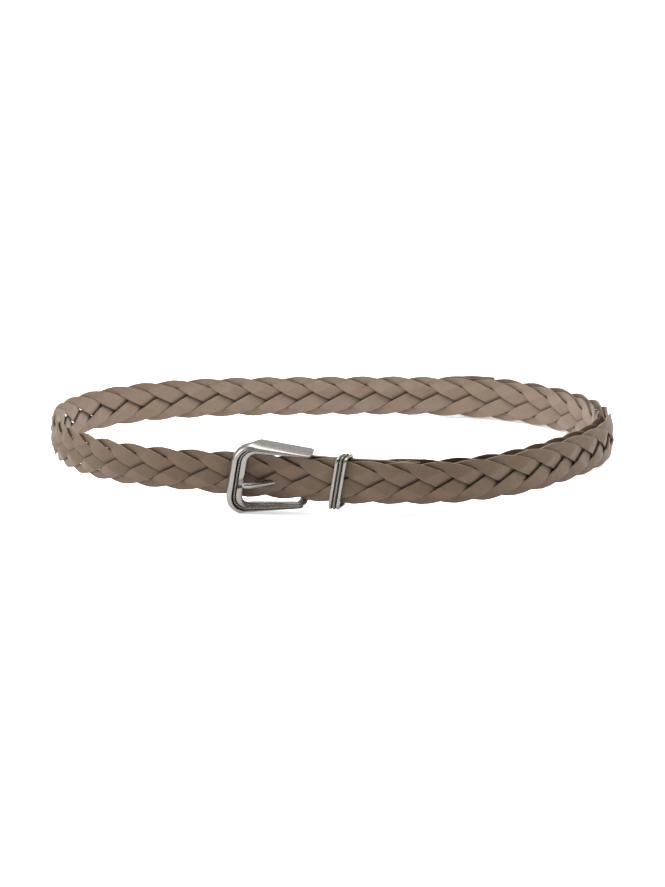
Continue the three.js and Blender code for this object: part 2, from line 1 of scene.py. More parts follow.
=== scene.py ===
"""Braided leather belt with a cast buckle: fine surfaces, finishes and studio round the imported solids.

Run as a script it dresses the part. Registered, its panel lists one operator for each group of pieces.
"""

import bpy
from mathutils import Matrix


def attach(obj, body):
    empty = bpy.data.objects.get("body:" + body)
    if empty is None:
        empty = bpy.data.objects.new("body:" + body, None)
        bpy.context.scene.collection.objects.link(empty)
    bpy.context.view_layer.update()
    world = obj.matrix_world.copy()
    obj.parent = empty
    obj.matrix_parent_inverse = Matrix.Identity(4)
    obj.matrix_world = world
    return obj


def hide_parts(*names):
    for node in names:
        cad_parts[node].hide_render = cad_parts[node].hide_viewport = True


bl_info = {
    "name": "Braided Belt",
    "version": (1, 0, 0),
    "blender": (4, 5, 0),
    "location": "View3D > Sidebar > Belt",
    "description": "Five-strand plait, cast buckle, keeper and folded leather ends of a fastened belt",
    "category": "Object",
}

import math

import bpy
import numpy as np
from mathutils import Matrix, Vector

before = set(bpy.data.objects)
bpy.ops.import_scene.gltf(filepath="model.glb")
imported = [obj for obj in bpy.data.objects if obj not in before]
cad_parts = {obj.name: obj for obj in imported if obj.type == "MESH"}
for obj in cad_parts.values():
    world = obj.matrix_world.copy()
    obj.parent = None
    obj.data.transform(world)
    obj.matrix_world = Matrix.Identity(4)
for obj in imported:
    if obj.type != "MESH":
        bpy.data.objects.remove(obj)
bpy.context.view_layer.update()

MM = 0.001
radians = math.radians

# The waist loop: an ellipse whose reach is scaled by a short sum of waves (turns, cos, sin)
LOOP_HALF_LENGTH = 169.8
LOOP_HALF_DEPTH = 136.3
LOOP_WAVES = (
    (0, 0.993, 0.0),
    (1, 0.016, 0.083),
    (2, 0.051, -0.032),
    (3, -0.037, 0.028),
    (4, -0.021, 0.0165),
    (5, 0.017, -0.002),
    (6, 0.005, -0.005),
)
HINGE_BEARING_DEG = 262.2
LOOP_STEPS = 1440

# The front of the strap leans out at its top, fading out round both sides
LEAN_DEG = 7.0
LEAN_REACH = 70.0
LEAN_FADE = 100.0

# Leather, millimetres
GAP = 0.3
LEATHER = 1.4
STRAND_ROOM = 0.4
STRAP_WIDTH = 27.0
STRANDS = 5
LIFT = LEATHER + STRAND_ROOM
# Half cells up to the outermost line of an edge turn, and from where a side belongs to the turn
EDGE_UP = 2.56
NEAR_EDGE_UP = 2.4
CELL = STRAP_WIDTH / 2 / EDGE_UP
# How far a strand's two sides are drawn together between its edge turns, apart where negative
SIDE_PULL = -0.35
HALF_PLAIT = 1.5 * LIFT + LEATHER / 2
HALF_TAB = GAP / 2 + LEATHER
POCKET = HALF_PLAIT + GAP + LEATHER / 2
TRAVERSE = 2.5

# A strand's two sides between two edge turns: pitches, half cells up, layers out
STRAND_STEPS = np.array(
    [
        [[0, EDGE_UP, 0], [0, 1.48, 0]],
        [[0.28, 2.44, 0.42], [0.05, 1.49, 0]],
        [[0.6, 2.12, 0.7], [0.1, 1.5, 0]],
        [[1, 1.5, 1.1], [0.5, 0.5, 1.5]],
        [[1.5, 0.5, -0.5], [1, -0.5, 0.5]],
    ]
)

# Pitches of the plait and where they lie, in laps of the loop past the hinge bar
PLAIT_PITCHES = (-16, 0, 4, 10, 16, 22, 26, 29, 31, 35, 39, 60)
PLAIT_LAPS = (0.011, 0.3675, 0.462, 0.5937, 0.7297, 0.8488, 0.9311, 0.9978, 1.0464, 1.1268, 1.2248, 1.6947)

TAB_LENGTH = 74.0
POCKET_LENGTH = 13.0
POCKET_MOUTH = 9.0
TAIL_REACH = 448.0
TIP_LENGTH = 40.0
TIP_HALF_HEIGHT = 7.0
TAB_HALF_HEIGHT = 12.6
KEEPER_AT = 26.1
KEEPER_WIDTH = 6.8
KEEPER_WALL = 1.6
KEEPER_ROOM = 1.95
KEEPER_DROP = 1.6
KEEPER_CORNER = 2.0
SPREAD_ROOM = 0.4

# Buckle, millimetres. Its back plane lies HINGE_DEPTH in front of the hinge bar
FRAME_LEAN = math.tan(radians(10.5))
KEEPER_LEAN = math.tan(radians(11.0))
HINGE_RADIUS = 1.5
HINGE_ROOM = 0.6
HINGE_DEPTH = 8.6
FRAME_LENGTH = 45.0
BAR_WIDTH = 10.3
BAR_ROOM = 1.7
OPENING_HALF_LEFT = 16.4
OPENING_HALF_RIGHT = 15.1
FRAME_HALF_LEFT = 23.5
FRAME_HALF_RIGHT = 17.9
INNER_CORNER = 5.5
OUTER_CORNER = 12.5
ARM_END = 4.6
ARM_DEPTH = 5.5
OUTER_DROP = 0.6
LUG_WIDTH = 1.6
LUG_HALF = 2.6
FRAME_RISE = 5.5
FRAME_LIFT = -0.35
INNER_LEFT = BAR_WIDTH - FRAME_LENGTH
PRONG_UP = -2.6

# Where the settled belt stands in the frame
SETTLE_X_DEG = -1.345
SETTLE_Y_DEG = 1.745
SETTLED_AT = np.array([-0.000731, -1.573104, 6.733604])
SETTLE_X = Matrix.Rotation(radians(SETTLE_X_DEG), 3, "X")
SETTLE_Y = Matrix.Rotation(radians(SETTLE_Y_DEG), 3, "Y")
SETTLE = np.array(SETTLE_Y @ SETTLE_X)

# The photograph's view in the belt's own unsettled frame
VIEW_TARGET = np.array([0.0, -21.0, 13.5])
VIEW_ELEVATION_DEG = 12.57
VIEW_DISTANCE = 2112.0
VIEW_LENS = 134.58


def ease(t):
    """Smooth step 3t^2 - 2t^3 of t held between 0 and 1."""
    t = np.clip(t, 0.0, 1.0)
    return t * t * (3 - 2 * t)


def stepped(table, run):
    """Value at a run: rows of run and value joined by smooth steps."""
    runs, values = table.T
    i = np.clip(np.searchsorted(runs, run), 1, len(runs) - 1)
    share = ease((run - runs[i - 1]) / (runs[i] - runs[i - 1]))
    return values[i - 1] + (values[i] - values[i - 1]) * share


def unit(vectors):
    """Vectors divided by their lengths."""
    return vectors / np.linalg.norm(vectors, axis=-1, keepdims=True)


def lengths(points):
    """Length along a line of points up to each of them."""
    return np.concatenate([[0.0], np.cumsum(np.linalg.norm(np.diff(points, axis=0), axis=1))])


def resampled(at, known, rows):
    """Rows read at new places between the known ones, each column by itself."""
    return np.stack([np.interp(at, known, column) for column in rows.T], 1)


def circle(count):
    """Angles spaced evenly round a full turn."""
    return np.arange(count) / count * 2 * math.pi


def settle(points):
    """Belt's own millimetres to the frame's metres: turned by the two rest angles, then moved."""
    return (points @ SETTLE.T + SETTLED_AT) * MM


def loop_point(turn):
    """Ellipse point at a bearing, times the sum of cosines and sines of whole multiples of it."""
    reach = sum(c * np.cos(n * turn) + s * np.sin(n * turn) for n, c, s in LOOP_WAVES)
    return np.stack([LOOP_HALF_LENGTH * reach * np.cos(turn), LOOP_HALF_DEPTH * reach * np.sin(turn)], -1)


TURNS = radians(HINGE_BEARING_DEG) + np.arange(LOOP_STEPS + 1) / LOOP_STEPS * 2 * math.pi
LOOP_RUNS = lengths(loop_point(TURNS))
LAP = LOOP_RUNS[-1]

INNER_LAYER = -HALF_PLAIT - GAP
OUTER_LAYER = HALF_PLAIT + GAP / 2
HINGE_OUT = OUTER_LAYER - HALF_PLAIT - GAP - LEATHER - HINGE_ROOM - HINGE_RADIUS
OVER_POCKET = INNER_LAYER + POCKET + LEATHER / 2 + GAP + HALF_PLAIT + GAP / 2
PLAIT_FROM = TAB_LENGTH - POCKET_LENGTH + GAP
PLAIT_TO = LAP + TAIL_REACH - TIP_LENGTH + POCKET_LENGTH - GAP

# Run past the hinge bar, and how far the strap's middle lies outside the loop's line
LAYERS = np.array(
    [
        [-1.35 * TAB_LENGTH, HINGE_OUT],
        [0.39 * TAB_LENGTH, HINGE_OUT],
        [0.676 * TAB_LENGTH, INNER_LAYER],
        [TAIL_REACH + STRAP_WIDTH, INNER_LAYER],
        [LAP - 1.67 * FRAME_LENGTH, OUTER_LAYER],
        [LAP + KEEPER_AT + KEEPER_WIDTH, OUTER_LAYER],
        [LAP + 0.7 * TAB_LENGTH, OVER_POCKET],
        [LAP + 1.108 * TAB_LENGTH, OVER_POCKET],
        [LAP + 1.81 * TAB_LENGTH, OUTER_LAYER],
        [LAP + TAIL_REACH - 2 * TIP_LENGTH, OUTER_LAYER],
        [LAP + TAIL_REACH - 1.1 * TIP_LENGTH, OVER_POCKET],
        [LAP + TAIL_REACH + 2.5 * TIP_LENGTH, OVER_POCKET],
    ]
)


def loop_at(run):
    """Place and outward direction of the loop at a run past the hinge bar."""
    turn = np.interp(np.mod(run, LAP), LOOP_RUNS, TURNS)
    nudge = 0.002
    ahead = unit(loop_point(turn + nudge) - loop_point(turn - nudge))
    return loop_point(turn), np.stack([ahead[..., 1], -ahead[..., 0]], -1)


def strap_lean(run):
    """How far the strap's top stands out for each millimetre up: full near the hinge bar, then a smooth
    step down to nothing."""
    left = np.mod(run, LAP)
    apart = np.minimum(left, LAP - left)
    return math.tan(radians(LEAN_DEG)) * ease((LEAN_REACH + LEAN_FADE - apart) / LEAN_FADE)


def place(run, up, out):
    """Strap coordinates to the belt's own: along the loop, up from the strap's middle, out of its middle."""
    run, up, out = np.broadcast_arrays(run, up, out)
    here, away = loop_at(run)
    flat = here + away * (stepped(LAYERS, run) + out + up * strap_lean(run))[..., None]
    return np.concatenate([flat, (STRAP_WIDTH / 2 + up)[..., None]], -1)


# The prong spreads the plait's lower edge down towards the buckle's lower arm: run, distance
SPREAD_LEFT = OPENING_HALF_LEFT - FRAME_LIFT - STRAP_WIDTH / 2 - 2 * SPREAD_ROOM - GAP
SPREAD_RIGHT = OPENING_HALF_RIGHT - FRAME_LIFT - STRAP_WIDTH / 2 - SPREAD_ROOM
SPREADS = np.array(
    [
        [LAP - 1.6 * FRAME_LENGTH, 0.0],
        [LAP + INNER_LEFT, SPREAD_LEFT],
        [LAP, SPREAD_RIGHT],
        [LAP + KEEPER_AT, SPREAD_RIGHT],
        [LAP + 0.8 * TAB_LENGTH, 0.0],
    ]
)


def spread_down(run, up):
    """Height in the spread plait: moved down by the table's smooth steps at its lower edge, and by the square
    of the share of the width below the upper edge elsewhere."""
    return up - stepped(SPREADS, run) * np.clip(0.5 - up / STRAP_WIDTH, 0, 1) ** 2


def smoothed(values, spread):
    """Rows averaged with a bell-shaped weight of the given spread in rows, ends held."""
    reach = int(math.ceil(spread * 3))
    weight = np.exp(-0.5 * (np.arange(-reach, reach + 1) / spread) ** 2)
    weight /= weight.sum()
    padded = np.pad(values, ((reach, reach), (0, 0)), mode="edge")
    return np.stack([np.convolve(padded[:, j], weight, mode="valid") for j in range(values.shape[1])], 1)


def grid_faces(rows, columns, closed_rows=False, closed_columns=True):
    """Quads of a grid of points, row by row, wrapping round where it is closed."""
    r = np.arange(rows if closed_rows else rows - 1)[:, None]
    c = np.arange(columns if closed_columns else columns - 1)[None, :]
    r2 = (r + 1) % rows
    c2 = (c + 1) % columns
    a, b = r * columns + c, r2 * columns + c
    d, e = r2 * columns + c2, r * columns + c2
    return np.stack(np.broadcast_arrays(a, b, d, e), -1).reshape(-1, 4)


def tube(rings, closed=False, column_slots=None):
    """Closed skin over rings of points. Open ends get a fan of triangles to the ring's middle.

    Returns points, quads, triangles and the finish number of every face, all facing outwards."""
    rows, columns = rings.shape[:2]
    points = rings.reshape(-1, 3)
    quads = grid_faces(rows, columns, closed_rows=closed)
    slots = np.zeros(columns, int) if column_slots is None else np.asarray(column_slots)
    finish = np.tile(slots, rows if closed else rows - 1)
    triangles = np.zeros((0, 3), int)
    if not closed:
        middles = rings[[0, -1]].mean(1)
        j = np.arange(columns)
        k = (j + 1) % columns
        first = np.stack([np.full(columns, len(points)), j, k], 1)
        end = (rows - 1) * columns
        last = np.stack([np.full(columns, len(points) + 1), end + k, end + j], 1)
        triangles = np.concatenate([first, last])
        points = np.concatenate([points, middles])
        finish = np.concatenate([finish, np.full(2 * columns, slots.max())])
    fans = np.concatenate([quads[:, :3], quads[:, [0, 2, 3]], triangles])
    a, b, c = points[fans].transpose(1, 0, 2)
    if np.einsum("ij,ij->", a, np.cross(b, c)) < 0:
        quads, triangles = quads[:, ::-1], triangles[:, ::-1]
    return points, quads, triangles, finish


def capped(values):
    """Point values of a tube's rings, with nothing at the middles of its two end fans."""
    return np.append(np.ravel(values), [0, 0])


def swept(path, normal, wide, tall):
    """Rings about a path's points, wide along its side and tall along its top, square to the way ahead."""
    ahead = unit(np.gradient(path, axis=0))
    side = unit(np.cross(ahead, normal))
    top = np.cross(side, ahead)
    return path[:, None] + wide[..., None] * side[:, None] + tall[..., None] * top[:, None]


def joined(parts):
    """Several skins of the first finish as one."""
    base = np.cumsum([0] + [len(skin[0]) for skin in parts])
    points = np.concatenate([skin[0] for skin in parts])
    quads, triangles = (np.concatenate([skin[k] + n for skin, n in zip(parts, base)]) for k in (1, 2))
    return points, quads, triangles, np.zeros(len(quads) + len(triangles), int)


def new_piece(name, skin, finishes, values=None):
    """Mesh object from whole arrays in metres, with its materials and its point values."""
    points, quads, triangles, finish = skin
    mesh = bpy.data.meshes.new(name)
    corners = np.concatenate([quads.ravel(), triangles.ravel()]).astype(np.int32)
    sizes = np.concatenate([np.full(len(quads), 4), np.full(len(triangles), 3)])
    starts = np.concatenate([[0], np.cumsum(sizes)[:-1]]).astype(np.int32)
    mesh.vertices.add(len(points))
    mesh.vertices.foreach_set("co", np.asarray(points, np.float32).ravel())
    mesh.loops.add(len(corners))
    mesh.loops.foreach_set("vertex_index", corners)
    mesh.polygons.add(len(sizes))
    mesh.polygons.foreach_set("loop_start", starts)
    mesh.polygons.foreach_set("use_smooth", np.ones(len(sizes), bool))
    for label in finishes:
        mesh.materials.append(finish_named(label))
    mesh.polygons.foreach_set("material_index", finish.astype(np.int32))
    for label, data in (values or {}).items():
        layer = mesh.attributes.new(label, "FLOAT", "POINT")
        layer.data.foreach_set("value", np.asarray(data, np.float32))
    mesh.update(calc_edges=True)
    mesh.validate()
    piece = bpy.data.objects.new(name, mesh)
    bpy.context.scene.collection.objects.link(piece)
    return piece


def fit(piece, slot, *nodes):
    """The piece rides with the belt and stands for its CAD nodes; its slot is not used."""
    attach(piece, "root")
    if nodes:
        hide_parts(*nodes)


def strand_sides(index):
    """Both sides of one strand from end to end: the table, its half turn, mirrored on every other traverse.

    Returns rows of run, up and lift of the one side and then of the other, in millimetres."""
    back = STRAND_STEPS[3:0:-1, ::-1] * [-1, -1, -1] + [TRAVERSE, 0, 0]
    steps = np.concatenate([STRAND_STEPS, back])
    first = math.floor((PLAIT_PITCHES[0] - index) / TRAVERSE)
    last = math.ceil((PLAIT_PITCHES[-1] - index) / TRAVERSE)
    t = np.arange(first, last + 1)
    sides = np.repeat(steps[None], len(t), 0)
    sides[..., 0] += (t * TRAVERSE + index)[:, None, None]
    odd = t % 2 == 1
    sides[odd, ..., 1] *= -1
    sides[odd] = sides[odd][:, :, ::-1]
    sides = sides.reshape(-1, 2, 3)
    run = LAP * np.interp(sides[..., 0], PLAIT_PITCHES, PLAIT_LAPS)
    points = np.stack([run, sides[..., 1] * CELL, sides[..., 2] * LIFT], -1)
    a, b = points[:, 0], points[:, 1]
    span = np.hypot(a[:, 0] - b[:, 0], a[:, 1] - b[:, 1])
    near_edge = np.maximum(abs(a[:, 1]), abs(b[:, 1])) > NEAR_EDGE_UP * CELL
    pull = np.where(near_edge, 0.0, SIDE_PULL / span)[:, None] * [1, 1, 0]
    return np.concatenate([a + (b - a) * pull, b + (a - b) * pull], 1)


# Across a strand's face: share of its width, share of its half thickness, share of its paler rim, partly
# rubbed and partly a painted highlight
FACE_ACROSS = np.array([0.0, 0.008, 0.024, 0.05, 0.18, 0.34, 0.5, 0.66, 0.82, 0.95, 0.976, 0.992, 1.0])
FACE_THICK = np.array([0.42, 0.78, 0.97, 1, 1, 1, 1, 1, 1, 1, 0.97, 0.78, 0.42])
FACE_RIM = np.array([1, 1, 0.55, 0, 0, 0, 0, 0, 0, 0, 0.55, 1, 1])
GRAIN, FLESH, CUT = 0, 1, 2


# Sampling of a strand's sides and the spread of their rounding, in millimetres, and the rows kept
SIDE_STEP = 0.3
SIDE_SPREAD = 0.4
ROWS_KEPT = 3
# How far the sides are followed past the plait's ends before they are pressed flat there, in millimetres
END_REACH = 5.0
END_INSET = 0.2
# Half cells up at which an edge turn begins and over which it grows, and the depth in layers of full painted
# shade under a crossing
TURN_FROM = 1.7
TURN_FADE = 0.9
SUNK_DEPTH = 0.42


def strand_skin(index, thickness, crown):
    """One strand: its two sides sampled along their run, rounded by a bell-shaped average, and a flat section
    with bevelled cut edges carried between them, bulging by crown times 1 - (2u - 1)^2 outwards where the
    strand lies over and inwards where it lies under.

    Returns the skin and its point values: rim, edge turn, and sunk where it goes under another strand."""
    keys = strand_sides(index)
    length = lengths((keys[:, :2] + keys[:, 3:5]) / 2)
    rows = resampled(np.arange(0, length[-1], SIDE_STEP), length, keys)
    rows = smoothed(rows, SIDE_SPREAD / SIDE_STEP)[::ROWS_KEPT]
    centre = (rows[:, 0] + rows[:, 3]) / 2
    rows = rows[(centre > PLAIT_FROM - END_REACH) & (centre < PLAIT_TO + END_REACH)]
    rows[:, [0, 3]] = np.clip(rows[:, [0, 3]], PLAIT_FROM + END_INSET, PLAIT_TO - END_INSET)
    a, b = rows[:, None, :3], rows[:, None, 3:]
    u = np.concatenate([FACE_ACROSS, FACE_ACROSS[::-1]])
    t = np.concatenate([FACE_THICK, -FACE_THICK[::-1]])
    on = a + (b - a) * u[None, :, None]
    lie = np.clip((rows[:, 2] + rows[:, 5]) / 2 / LIFT, -1, 1)[:, None]
    swell = crown * lie * (1 - (2 * u - 1) ** 2)[None]
    out = on[..., 2] + t * thickness / 2 + swell
    rings = settle(place(on[..., 0], spread_down(on[..., 0], on[..., 1]), out))
    faces = len(FACE_ACROSS)
    slots = np.full(2 * faces, GRAIN)
    slots[faces:] = FLESH
    slots[[0, faces - 2, faces - 1, faces, 2 * faces - 2, 2 * faces - 1]] = CUT
    # Point values that mask painted light: rim for the paler rim, partly rubbed and partly a painted
    # highlight; turn and sunk for painted shade at edge turns and under crossings
    rim = np.tile(np.concatenate([FACE_RIM, FACE_RIM[::-1]]), len(rows))
    turn = ease((np.maximum(abs(rows[:, 1]), abs(rows[:, 4])) / CELL - TURN_FROM) / TURN_FADE)[:, None]
    facing = np.repeat([1.0, -1.0], faces)[None]
    sunk = ease((SUNK_DEPTH - lie * facing) / SUNK_DEPTH) * (1 - turn)
    values = {"rim": capped(rim), "turn": capped(np.repeat(turn, 2 * faces)), "sunk": capped(sunk)}
    return tube(rings, column_slots=slots), values


def buckle_frame_axes():
    """Origin and axes of the buckle: along from the bar to the hinge, up, and out of the belt."""
    bar_run = LAP - FRAME_LENGTH + BAR_WIDTH / 2
    here, away = loop_at(np.array([0.0, bar_run]))
    shift = np.array([HINGE_OUT, stepped(LAYERS, bar_run) + HALF_PLAIT + GAP + BAR_ROOM])
    hinge, bar = here + away * shift[:, None]
    reach = hinge - bar
    way = math.atan2(reach[1], reach[0]) - math.asin(HINGE_DEPTH / np.linalg.norm(reach))
    along = np.array([math.cos(way), math.sin(way), 0])
    level = np.array([along[1], -along[0], 0])
    lean = radians(LEAN_DEG)
    up = np.array([0, 0, 1.0]) * math.cos(lean) + level * math.sin(lean)
    out = np.cross(along, up)
    origin = np.append(hinge, STRAP_WIDTH / 2) + out * HINGE_DEPTH + up * FRAME_LIFT
    return origin, along, up, out


BUCKLE_AT, *BUCKLE_AXES = buckle_frame_axes()


def on_buckle(a, b, rise, leaning=True):
    """Buckle coordinates to the frame's metres, sheared by the metal's lean."""
    a, b, rise = np.broadcast_arrays(a, b, rise)
    if leaning:
        a = a + b * FRAME_LEAN
    return settle(np.stack([a, b, rise], -1) @ BUCKLE_AXES + BUCKLE_AT)


# The cast frame's inner and outer outline: left end, corner radius, half height at the left and at the right
FRAME_LINES = (
    (INNER_LEFT, INNER_CORNER, OPENING_HALF_LEFT, OPENING_HALF_RIGHT),
    (-FRAME_LENGTH, OUTER_CORNER, FRAME_HALF_LEFT, FRAME_HALF_RIGHT),
)


def frame_outline(arm_rows, corner_rows, bar_rows):
    """Both outlines of the cast frame side by side: straight arms, quarter-circle corners and the bar."""
    q = math.pi / 2 + np.linspace(0, 1, corner_rows) * math.pi / 2
    down = np.linspace(1, -1, bar_rows + 2)[1:-1]
    outlines = []
    for left, radius, half_left, half_right in FRAME_LINES:
        start = left + radius
        along = ARM_END + (start - ARM_END) * np.linspace(0, 1, arm_rows + 1)
        share = np.clip((along - INNER_LEFT) / (ARM_END - INNER_LEFT), 0, 1)
        arm = np.stack([along, half_left + (half_right - half_left) * share], 1)
        corner = arm[-1] + radius * np.stack([np.cos(q), np.sin(q) - 1], 1)
        bar = np.stack([np.full(bar_rows, corner[-1, 0]), corner[-1, 1] * down], 1)
        upper = np.concatenate([arm[:-1], corner])
        outlines.append(np.concatenate([upper, bar, upper[::-1] * [1, -1]]))
    return np.concatenate(outlines, 1)


# Section of the cast frame: share across from the inner edge, share of its rise, share of recess
FRAME_SECTION = np.array(
    [
        *([0.0, 0.0, 0.3], [0.0, 0.46, 0.0], [0.02, 0.58, 0.0], [0.07, 0.64, 0.0], [0.2, 0.7, 0.0]),
        *([0.305, 0.745, 0.05], [0.325, 0.72, 0.5], [0.345, 0.6, 1.0], [0.45, 0.58, 1.0]),
        *([0.545, 0.62, 1.0], [0.562, 0.9, 0.7], [0.585, 0.985, 0.1], [0.62, 1.0, 0.0]),
        *([0.7, 0.975, 0.0], [0.78, 0.9, 0.0], [0.86, 0.77, 0.0], [0.92, 0.62, 0.0]),
        *([0.965, 0.44, 0.0], [0.992, 0.24, 0.0], [0.995, 0.08, 0.1], [0.97, 0.0, 0.3]),
    ]
)
# Where the section's bevel is highest and where its groove's middle lies, as shares across
BEVEL_CREST = 0.62
GROOVE_ACROSS = 0.45


def refined(section, per_edge, spread):
    """A closed section with points added evenly on every edge, then rounded round the ring."""
    n = len(section)
    wrapped = np.concatenate([section, section[:1]])
    fine = resampled(np.arange(n * per_edge) / per_edge, np.arange(n + 1), wrapped)
    wrap = 8
    return smoothed(np.concatenate([fine[-wrap:], fine, fine[:wrap]]), spread)[wrap:-wrap]


# The prong's notch in the bar's lip
NOTCH_UP = PRONG_UP - 0.7
NOTCH_HALF = 2.3
NOTCH_DEPTH = 1.6
# Rows along an arm, round a corner and down the bar
ARM_ROWS, CORNER_ROWS, BAR_ROWS = 46, 26, 34
# The arm ends: share of the arm that is rounded off, and the shares of height and width left at its end
BLUNT_REACH = 0.07
BLUNT_HEIGHT = 0.66
BLUNT_WIDTH = 0.82
# Share of the rise under which the section counts as its foot
FOOT_RISE = 0.16


def frame_skin():
    """The cast frame's section carried along its outline, flattened and rounded off at the two arm ends.
    Its foot goes down beside the strap by a smooth step along the arms, and the bar's lip is notched."""
    rows = frame_outline(ARM_ROWS, CORNER_ROWS, BAR_ROWS)
    section = refined(FRAME_SECTION, 3, 0.9)
    n = len(rows)
    from_end = np.minimum(np.arange(n), np.arange(n)[::-1]) / ARM_ROWS
    blunt = np.sqrt(1 - (1 - np.clip(from_end / BLUNT_REACH, 0, 1)) ** 2)
    height = (BLUNT_HEIGHT + (1 - BLUNT_HEIGHT) * blunt)[:, None]
    across, high, deep = section.T[:, None]
    squeeze = 0.5 + (across - 0.5) * (BLUNT_WIDTH + (1 - BLUNT_WIDTH) * blunt)[:, None]
    a = rows[:, 0:1] + (rows[:, 2:3] - rows[:, 0:1]) * squeeze
    b = rows[:, 1:2] + (rows[:, 3:4] - rows[:, 1:2]) * squeeze
    outer = OUTER_DROP * np.clip((across - BEVEL_CREST) / (1 - BEVEL_CREST), 0, 1) ** 1.6
    share = np.clip(1 - high / FOOT_RISE, 0, 1) + outer
    foot = ARM_DEPTH * ease((a - INNER_LEFT) / INNER_CORNER) * share
    on_lip = ease((0.4 - across) / 0.1) * (rows[:, 0:1] < INNER_LEFT + 0.5)
    notch = np.exp(-(((b - NOTCH_UP) / NOTCH_HALF) ** 4)) * on_lip
    rise = (FRAME_RISE * high - foot) * height - notch * NOTCH_DEPTH * high
    return tube(on_buckle(a, b, rise)), capped(deep + notch * 0.4)


# The rope lines: length of half a turn, rows in it, points round the wire, radius on frame and keeper
ROPE_TWIST = 1.7
TWIST_ROWS = 9
ROPE_SIDES = 12
FRAME_ROPE = 0.72
KEEPER_ROPE = 0.66


def rope_skin(path, normal, radius):
    """A twisted wire along a path: a circle whose radius rises to two lobes, |cos(angle - pi s / twist)|,
    that turn by half a turn for every twist of length s. Returns the rings and the depth between lobes."""
    length = lengths(path)
    s = np.linspace(0, length[-1], max(int(length[-1] / (ROPE_TWIST / TWIST_ROWS)), ROPE_SIDES))
    path, normal = resampled(s, length, path), resampled(s, length, normal)
    angle = circle(ROPE_SIDES)
    lobe = abs(np.cos(angle[None] - math.pi * s[:, None] / ROPE_TWIST))
    r = radius * (0.5 + 0.56 * lobe**0.8)
    return swept(path, normal, r * np.cos(angle), r * np.sin(angle)), 1 - lobe


def frame_rope():
    """The rope line in the frame's groove, as rings in buckle coordinates and the depth between lobes."""
    rows = frame_outline(40, 40, 40)[2:-2]
    a, b = (rows[:, :2] + (rows[:, 2:] - rows[:, :2]) * GROOVE_ACROSS).T
    path = np.stack([a + b * FRAME_LEAN, b, np.full(len(a), FRAME_RISE * 0.7)], 1)
    return rope_skin(path, np.tile([0.0, 0.0, 1.0], (len(path), 1)), FRAME_ROPE)


# The lugs' upper edge, and how far their inner faces stand in the arms
LUG_TOP = -1.0
LUG_INSET = 0.1


def hinge_bar():
    """The hinge bar, a plain round rod, and the two lugs that hold it: plates with a rounded outline."""
    q = circle(28)
    b = np.linspace(-OPENING_HALF_RIGHT - 1, OPENING_HALF_RIGHT + 1, 12)[:, None]
    c, s = HINGE_RADIUS * np.cos(q), HINGE_RADIUS * np.sin(q)
    parts = [tube(on_buckle(c, b, s - HINGE_DEPTH, leaning=False))]
    p = math.pi + np.linspace(0, 1, 19) * math.pi
    a = np.append(LUG_HALF * np.cos(p), [LUG_HALF, -LUG_HALF])
    rise = np.append(LUG_HALF * np.sin(p) - HINGE_DEPTH, [LUG_TOP, LUG_TOP])
    thick = np.array([0.0, 0.06, 0.94, 1.0])[:, None]
    inset = np.array([0.92, 1.0, 1.0, 0.92])[:, None]
    depth = LUG_TOP + (rise - LUG_TOP) * (0.5 + 0.5 * inset)
    for side in (1, -1):
        b = side * (OPENING_HALF_RIGHT + LUG_INSET + (LUG_WIDTH - LUG_INSET) * thick)
        parts.append(tube(on_buckle(a * inset, b, depth, leaning=False)))
    return joined(parts)


# The prong's centre line: shares of its reach away from the hinge, of PRONG_UP and of its climb
PRONG_REACH = FRAME_LENGTH - BAR_WIDTH + 1.1
PRONG_CLIMB = HINGE_DEPTH + 0.74 * FRAME_RISE + 0.85 * 1.8 + 2 * GAP
PRONG_LINE = np.array(
    [
        [0.081, 1, 0.04],
        [0.237, 1.08, 0.135],
        [0.475, 1.35, 0.4],
        [0.63, 1.45, 0.61],
        [0.852, 1.3, 1],
        [0.955, 1.27, 1],
        [1, 1.27, 0.973],
    ]
)
PRONG_LINE = PRONG_LINE * [PRONG_REACH, PRONG_UP, PRONG_CLIMB] - [0, 0, HINGE_DEPTH]
# Lengths over which its tip closes and its root thickens, its flatness, its eye's half width and squareness
PRONG_TIP = 2.2
PRONG_ROOT = 18.0
PRONG_FLAT = 0.88
EYE_HALF = 1.5
EYE_SQUARE = 0.35


def prong_skin(radius):
    """The prong's line rounded by a bell-shaped average, with an oval section that closes in a blunt tip,
    and its eye, a rounded band turned about the hinge bar."""
    reach = PRONG_LINE[:, 0]
    away = np.linspace(reach[0], reach[-1], 180)
    line = resampled(away, reach, PRONG_LINE)
    line[:, 1:] = smoothed(line[:, 1:], 9)
    to_tip = np.clip((reach[-1] - away) / PRONG_TIP, 0, 1)
    girth = radius * (np.sqrt(1 - (1 - to_tip) ** 2) * 0.98 + 0.02)
    girth = (girth * (0.6 + 0.4 * ease((away - reach[0]) / PRONG_ROOT)))[:, None]
    q = circle(24)
    rings = swept(line * [-1, 1, 1], [0, 0, 1.0], girth * np.cos(q), girth * PRONG_FLAT * np.sin(q))
    rod = tube(on_buckle(*np.moveaxis(rings, -1, 0), leaning=False))
    p = circle(32)
    c, s = np.cos(p), np.sin(p)
    r = HINGE_RADIUS + GAP + LEATHER / 2 * (1 + np.sign(c) * abs(c) ** EYE_SQUARE)
    u = EYE_HALF * np.sign(s) * abs(s) ** EYE_SQUARE
    w = circle(36)[:, None]
    rings = on_buckle(r * np.cos(w), PRONG_UP + u, r * np.sin(w) - HINGE_DEPTH, leaning=False)
    return joined([rod, tube(rings, closed=True)])


